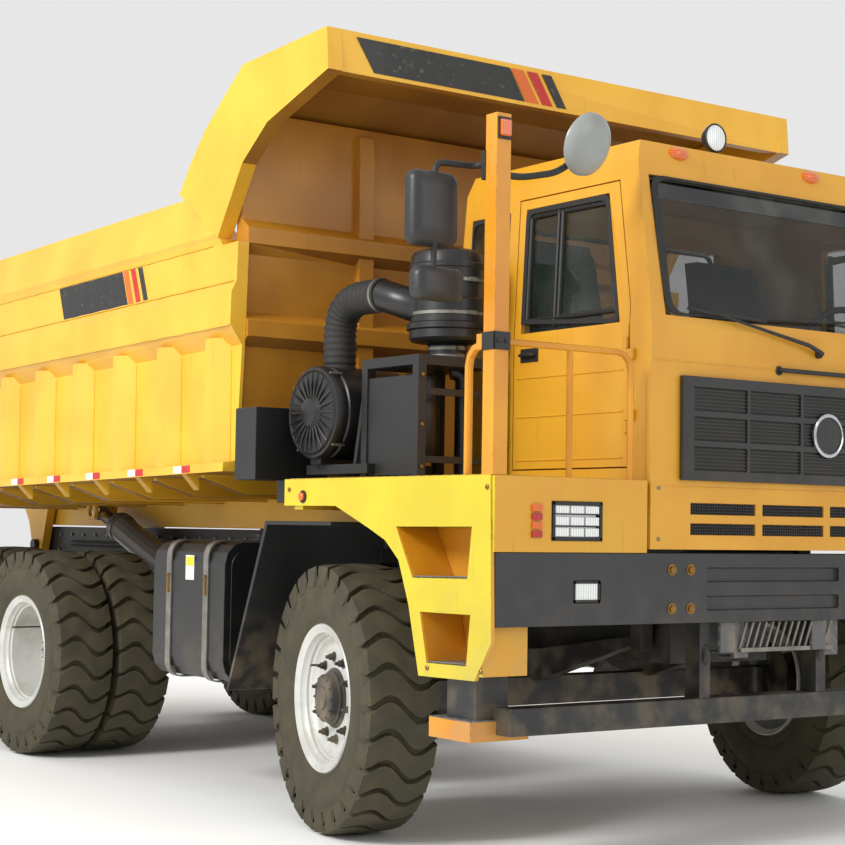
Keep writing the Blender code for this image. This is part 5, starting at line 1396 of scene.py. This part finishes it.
HOIST_BASE, HOIST_EYE, HOIST_X = (2.60, 0.85), (4.787, 1.62), 0.65
run = Vector((0, HOIST_EYE[0] - HOIST_BASE[0], HOIST_EYE[1] - HOIST_BASE[1])).normalized()
for side, word in ((-1, "right"), (1, "left")):
    body = f"hoist_tube_{word}"
    foot = Vector((side * HOIST_X, *HOIST_BASE))
    reach = (box_of(body)[1].y - HOIST_BASE[0]) / run.y - 0.05
    spans = [(0.20, 0.26, 0.106), (reach - 0.07, reach - 0.012, 0.107)]
    spans.append((reach * 0.55, reach * 0.55 + 0.02, 0.104))
    collars = []
    for low, high, radius in spans:
        section = ((low, radius), (high, radius), (high, 0.09), (low, 0.09))
        collars.append(skin(discs(foot, run, section), True))
    piece(f"hoist_collars_{word}", bare_steel, collars, body, smooth=30)
    port = foot + run * 0.30
    bends = [port + Vector((0, y, z)) for y, z in ((0.02, -0.11), (-0.02, -0.20), (-0.22, -0.18))]
    hose = curved([*bends, foot + Vector((0, 0.02, -0.10))], 0.08, 8)
    piece(f"hoist_hose_{word}", hose_rubber, [tube(hose, 0.018, 14)], body, smooth=60)
    fitting = [port + Vector((0, 0.03, -0.085)), port + Vector((0, 0.02, -0.13))]
    piece(f"hoist_fitting_{word}", brass, [tube(fitting, 0.026, 6)], body, smooth=30)


# --- Cab interior ------------------------------------------------------------------------------
# Moulded dark trim with a pebbled grain over a steel frame, woven seat cushions, a rubber-gripped
# wheel and a binnacle of round dials with blank faces.

trim = Finish("cab_trim_moulding")
trim.colour(trim.noise(5, 4), (0.20, 0.20, 0.195), (0.28, 0.275, 0.26))
trim.feed("Roughness", trim.noise(18, 4) * 0.25 + 0.55)
trim.bump(trim.noise(140, 2), 0.0005, 0.35)
dress(trim, "cab_interior", edge=0.006)
cloth = Finish("seat_woven_cloth")
weave = cloth.ribs("Z", 26.0)
cloth.colour(weave, (0.24, 0.25, 0.28), (0.34, 0.35, 0.38))
cloth.feed("Roughness", cloth.noise(60) * 0.15 + 0.8)
cloth.bump(weave, 0.0008, 0.4)

CUSHION = ((2.28, 0.985), (2.30, 1.0), (2.415, 1.0), (2.437, 0.97), (2.440, 0.70))
BACKREST = ((0.0, 0.96), (-0.018, 1.0), (-0.045, 0.96), (-0.052, 0.70))
for word, x in (("right", -0.30), ("left", 0.98)):
    outline = rounded(0.50, 0.52, 0.07)
    rings = []
    for z, share in CUSHION:
        rings.append([at(x + a * share, -0.335 + b * share, z) for a, b in outline])
    cushion = piece(f"seat_cushion_{word}", cloth, [skin(rings)], smooth=60)
    outline = rounded(0.48, 0.60, 0.08)
    rings = []
    for out, share in BACKREST:
        ring = []
        for a, b in outline:
            z = 2.79 + b * share
            face = -0.195 + (z - 2.485) * 0.2276
            ring.append(at(x + a * share, face + out + 0.012, z))
        rings.append(ring)
    back = piece(f"seat_back_{word}", cloth, [skin(rings)], smooth=60)

WHEEL = Vector((0.98, -0.84, 2.58))
shaft = Vector((0, 0.22, 0.16)).normalized()
across = Vector((1, 0, 0))
above = shaft.cross(across)
grip = [WHEEL + a * across + b * above for a, b in circle(0.22, 40)]
boss = tube([WHEEL - shaft * 0.02, WHEEL + shaft * 0.03], [0.055, 0.045], 24)
piece("steering_wheel_grip", moulded_black, [tube([*grip, grip[0]], 0.0185), boss], smooth=60)
dials, dial_rims = [], []
for x, radius in ((0.80, 0.040), (0.90, 0.055), (1.04, 0.055), (1.15, 0.040)):
    centre = (x, -0.989, 2.43)
    dials.append(knob(centre, radius, 0.005, (0, 1, 0.05), 32))
    ring = [(0.0, 0.008), (0.009, 0.006), (0.010, 0.0), (0.004, -0.002)]
    ring = [(along, radius + out) for along, out in ring]
    dial_rims.append(turned(ring, centre, "Y", 40, closed=True))
piece("dial_faces", white_lens, dials)
piece("dial_rims", chrome, dial_rims)


# --- Stage -------------------------------------------------------------------------------------
# A plain pale floor and soft studio light, with the sun-like key from the truck's front right.

bpy.ops.mesh.primitive_plane_add(size=160, location=(0, 0, 0))
floor = bpy.context.object
floor.name = "stage_floor"
pale = Finish("stage_floor", Roughness=0.9)
pale.colour(pale.noise(0.4), (0.97, 0.97, 0.96), (0.985, 0.985, 0.98))
floor.data.materials.append(pale.material)

world = bpy.data.worlds.new("studio")
bpy.context.scene.world = world
world.use_nodes = True
backdrop = world.node_tree.nodes["Background"]
backdrop.inputs["Color"].default_value = (1, 1, 1, 1)
backdrop.inputs["Strength"].default_value = 0.80


def soft_light(name, place, size, power):
    """A square lamp that faces the middle of the truck."""
    lamp = bpy.data.lights.new(name, "AREA")
    lamp.size, lamp.energy = size, power
    made = bpy.data.objects.new(name, lamp)
    made.location = at(*place)
    facing = at(0.0, 2.0, 1.6) - made.location
    made.rotation_mode = "QUATERNION"
    made.rotation_quaternion = facing.to_track_quat("-Z", "Y")
    bpy.context.scene.collection.objects.link(made)


soft_light("key", (-13.0, -1.0, 9.0), 4.0, 1550)
soft_light("front_fill", (4.0, -13.0, 6.0), 6.0, 250)
soft_light("rear_fill", (8.0, 14.0, 8.0), 7.0, 600)

CAMERA_YAW = 0.6204
CAMERA_PITCH = 0.0572
CAMERA_ROLL = 0.0154
view = bpy.data.cameras.new("camera")
view.lens, view.sensor_width = 78.15, 36.0
camera = bpy.data.objects.new("camera", view)
turn = Matrix.Rotation(-CAMERA_YAW, 4, "Z") @ Matrix.Rotation(math.pi / 2 + CAMERA_PITCH, 4, "X")
turn = turn @ Matrix.Rotation(CAMERA_ROLL, 4, "Z")
camera.matrix_world = Matrix.Translation(at(-6.679, -7.746, 1.537)) @ turn
bpy.context.scene.collection.objects.link(camera)
bpy.context.scene.camera = camera
bpy.context.scene.view_settings.view_transform = "Standard"
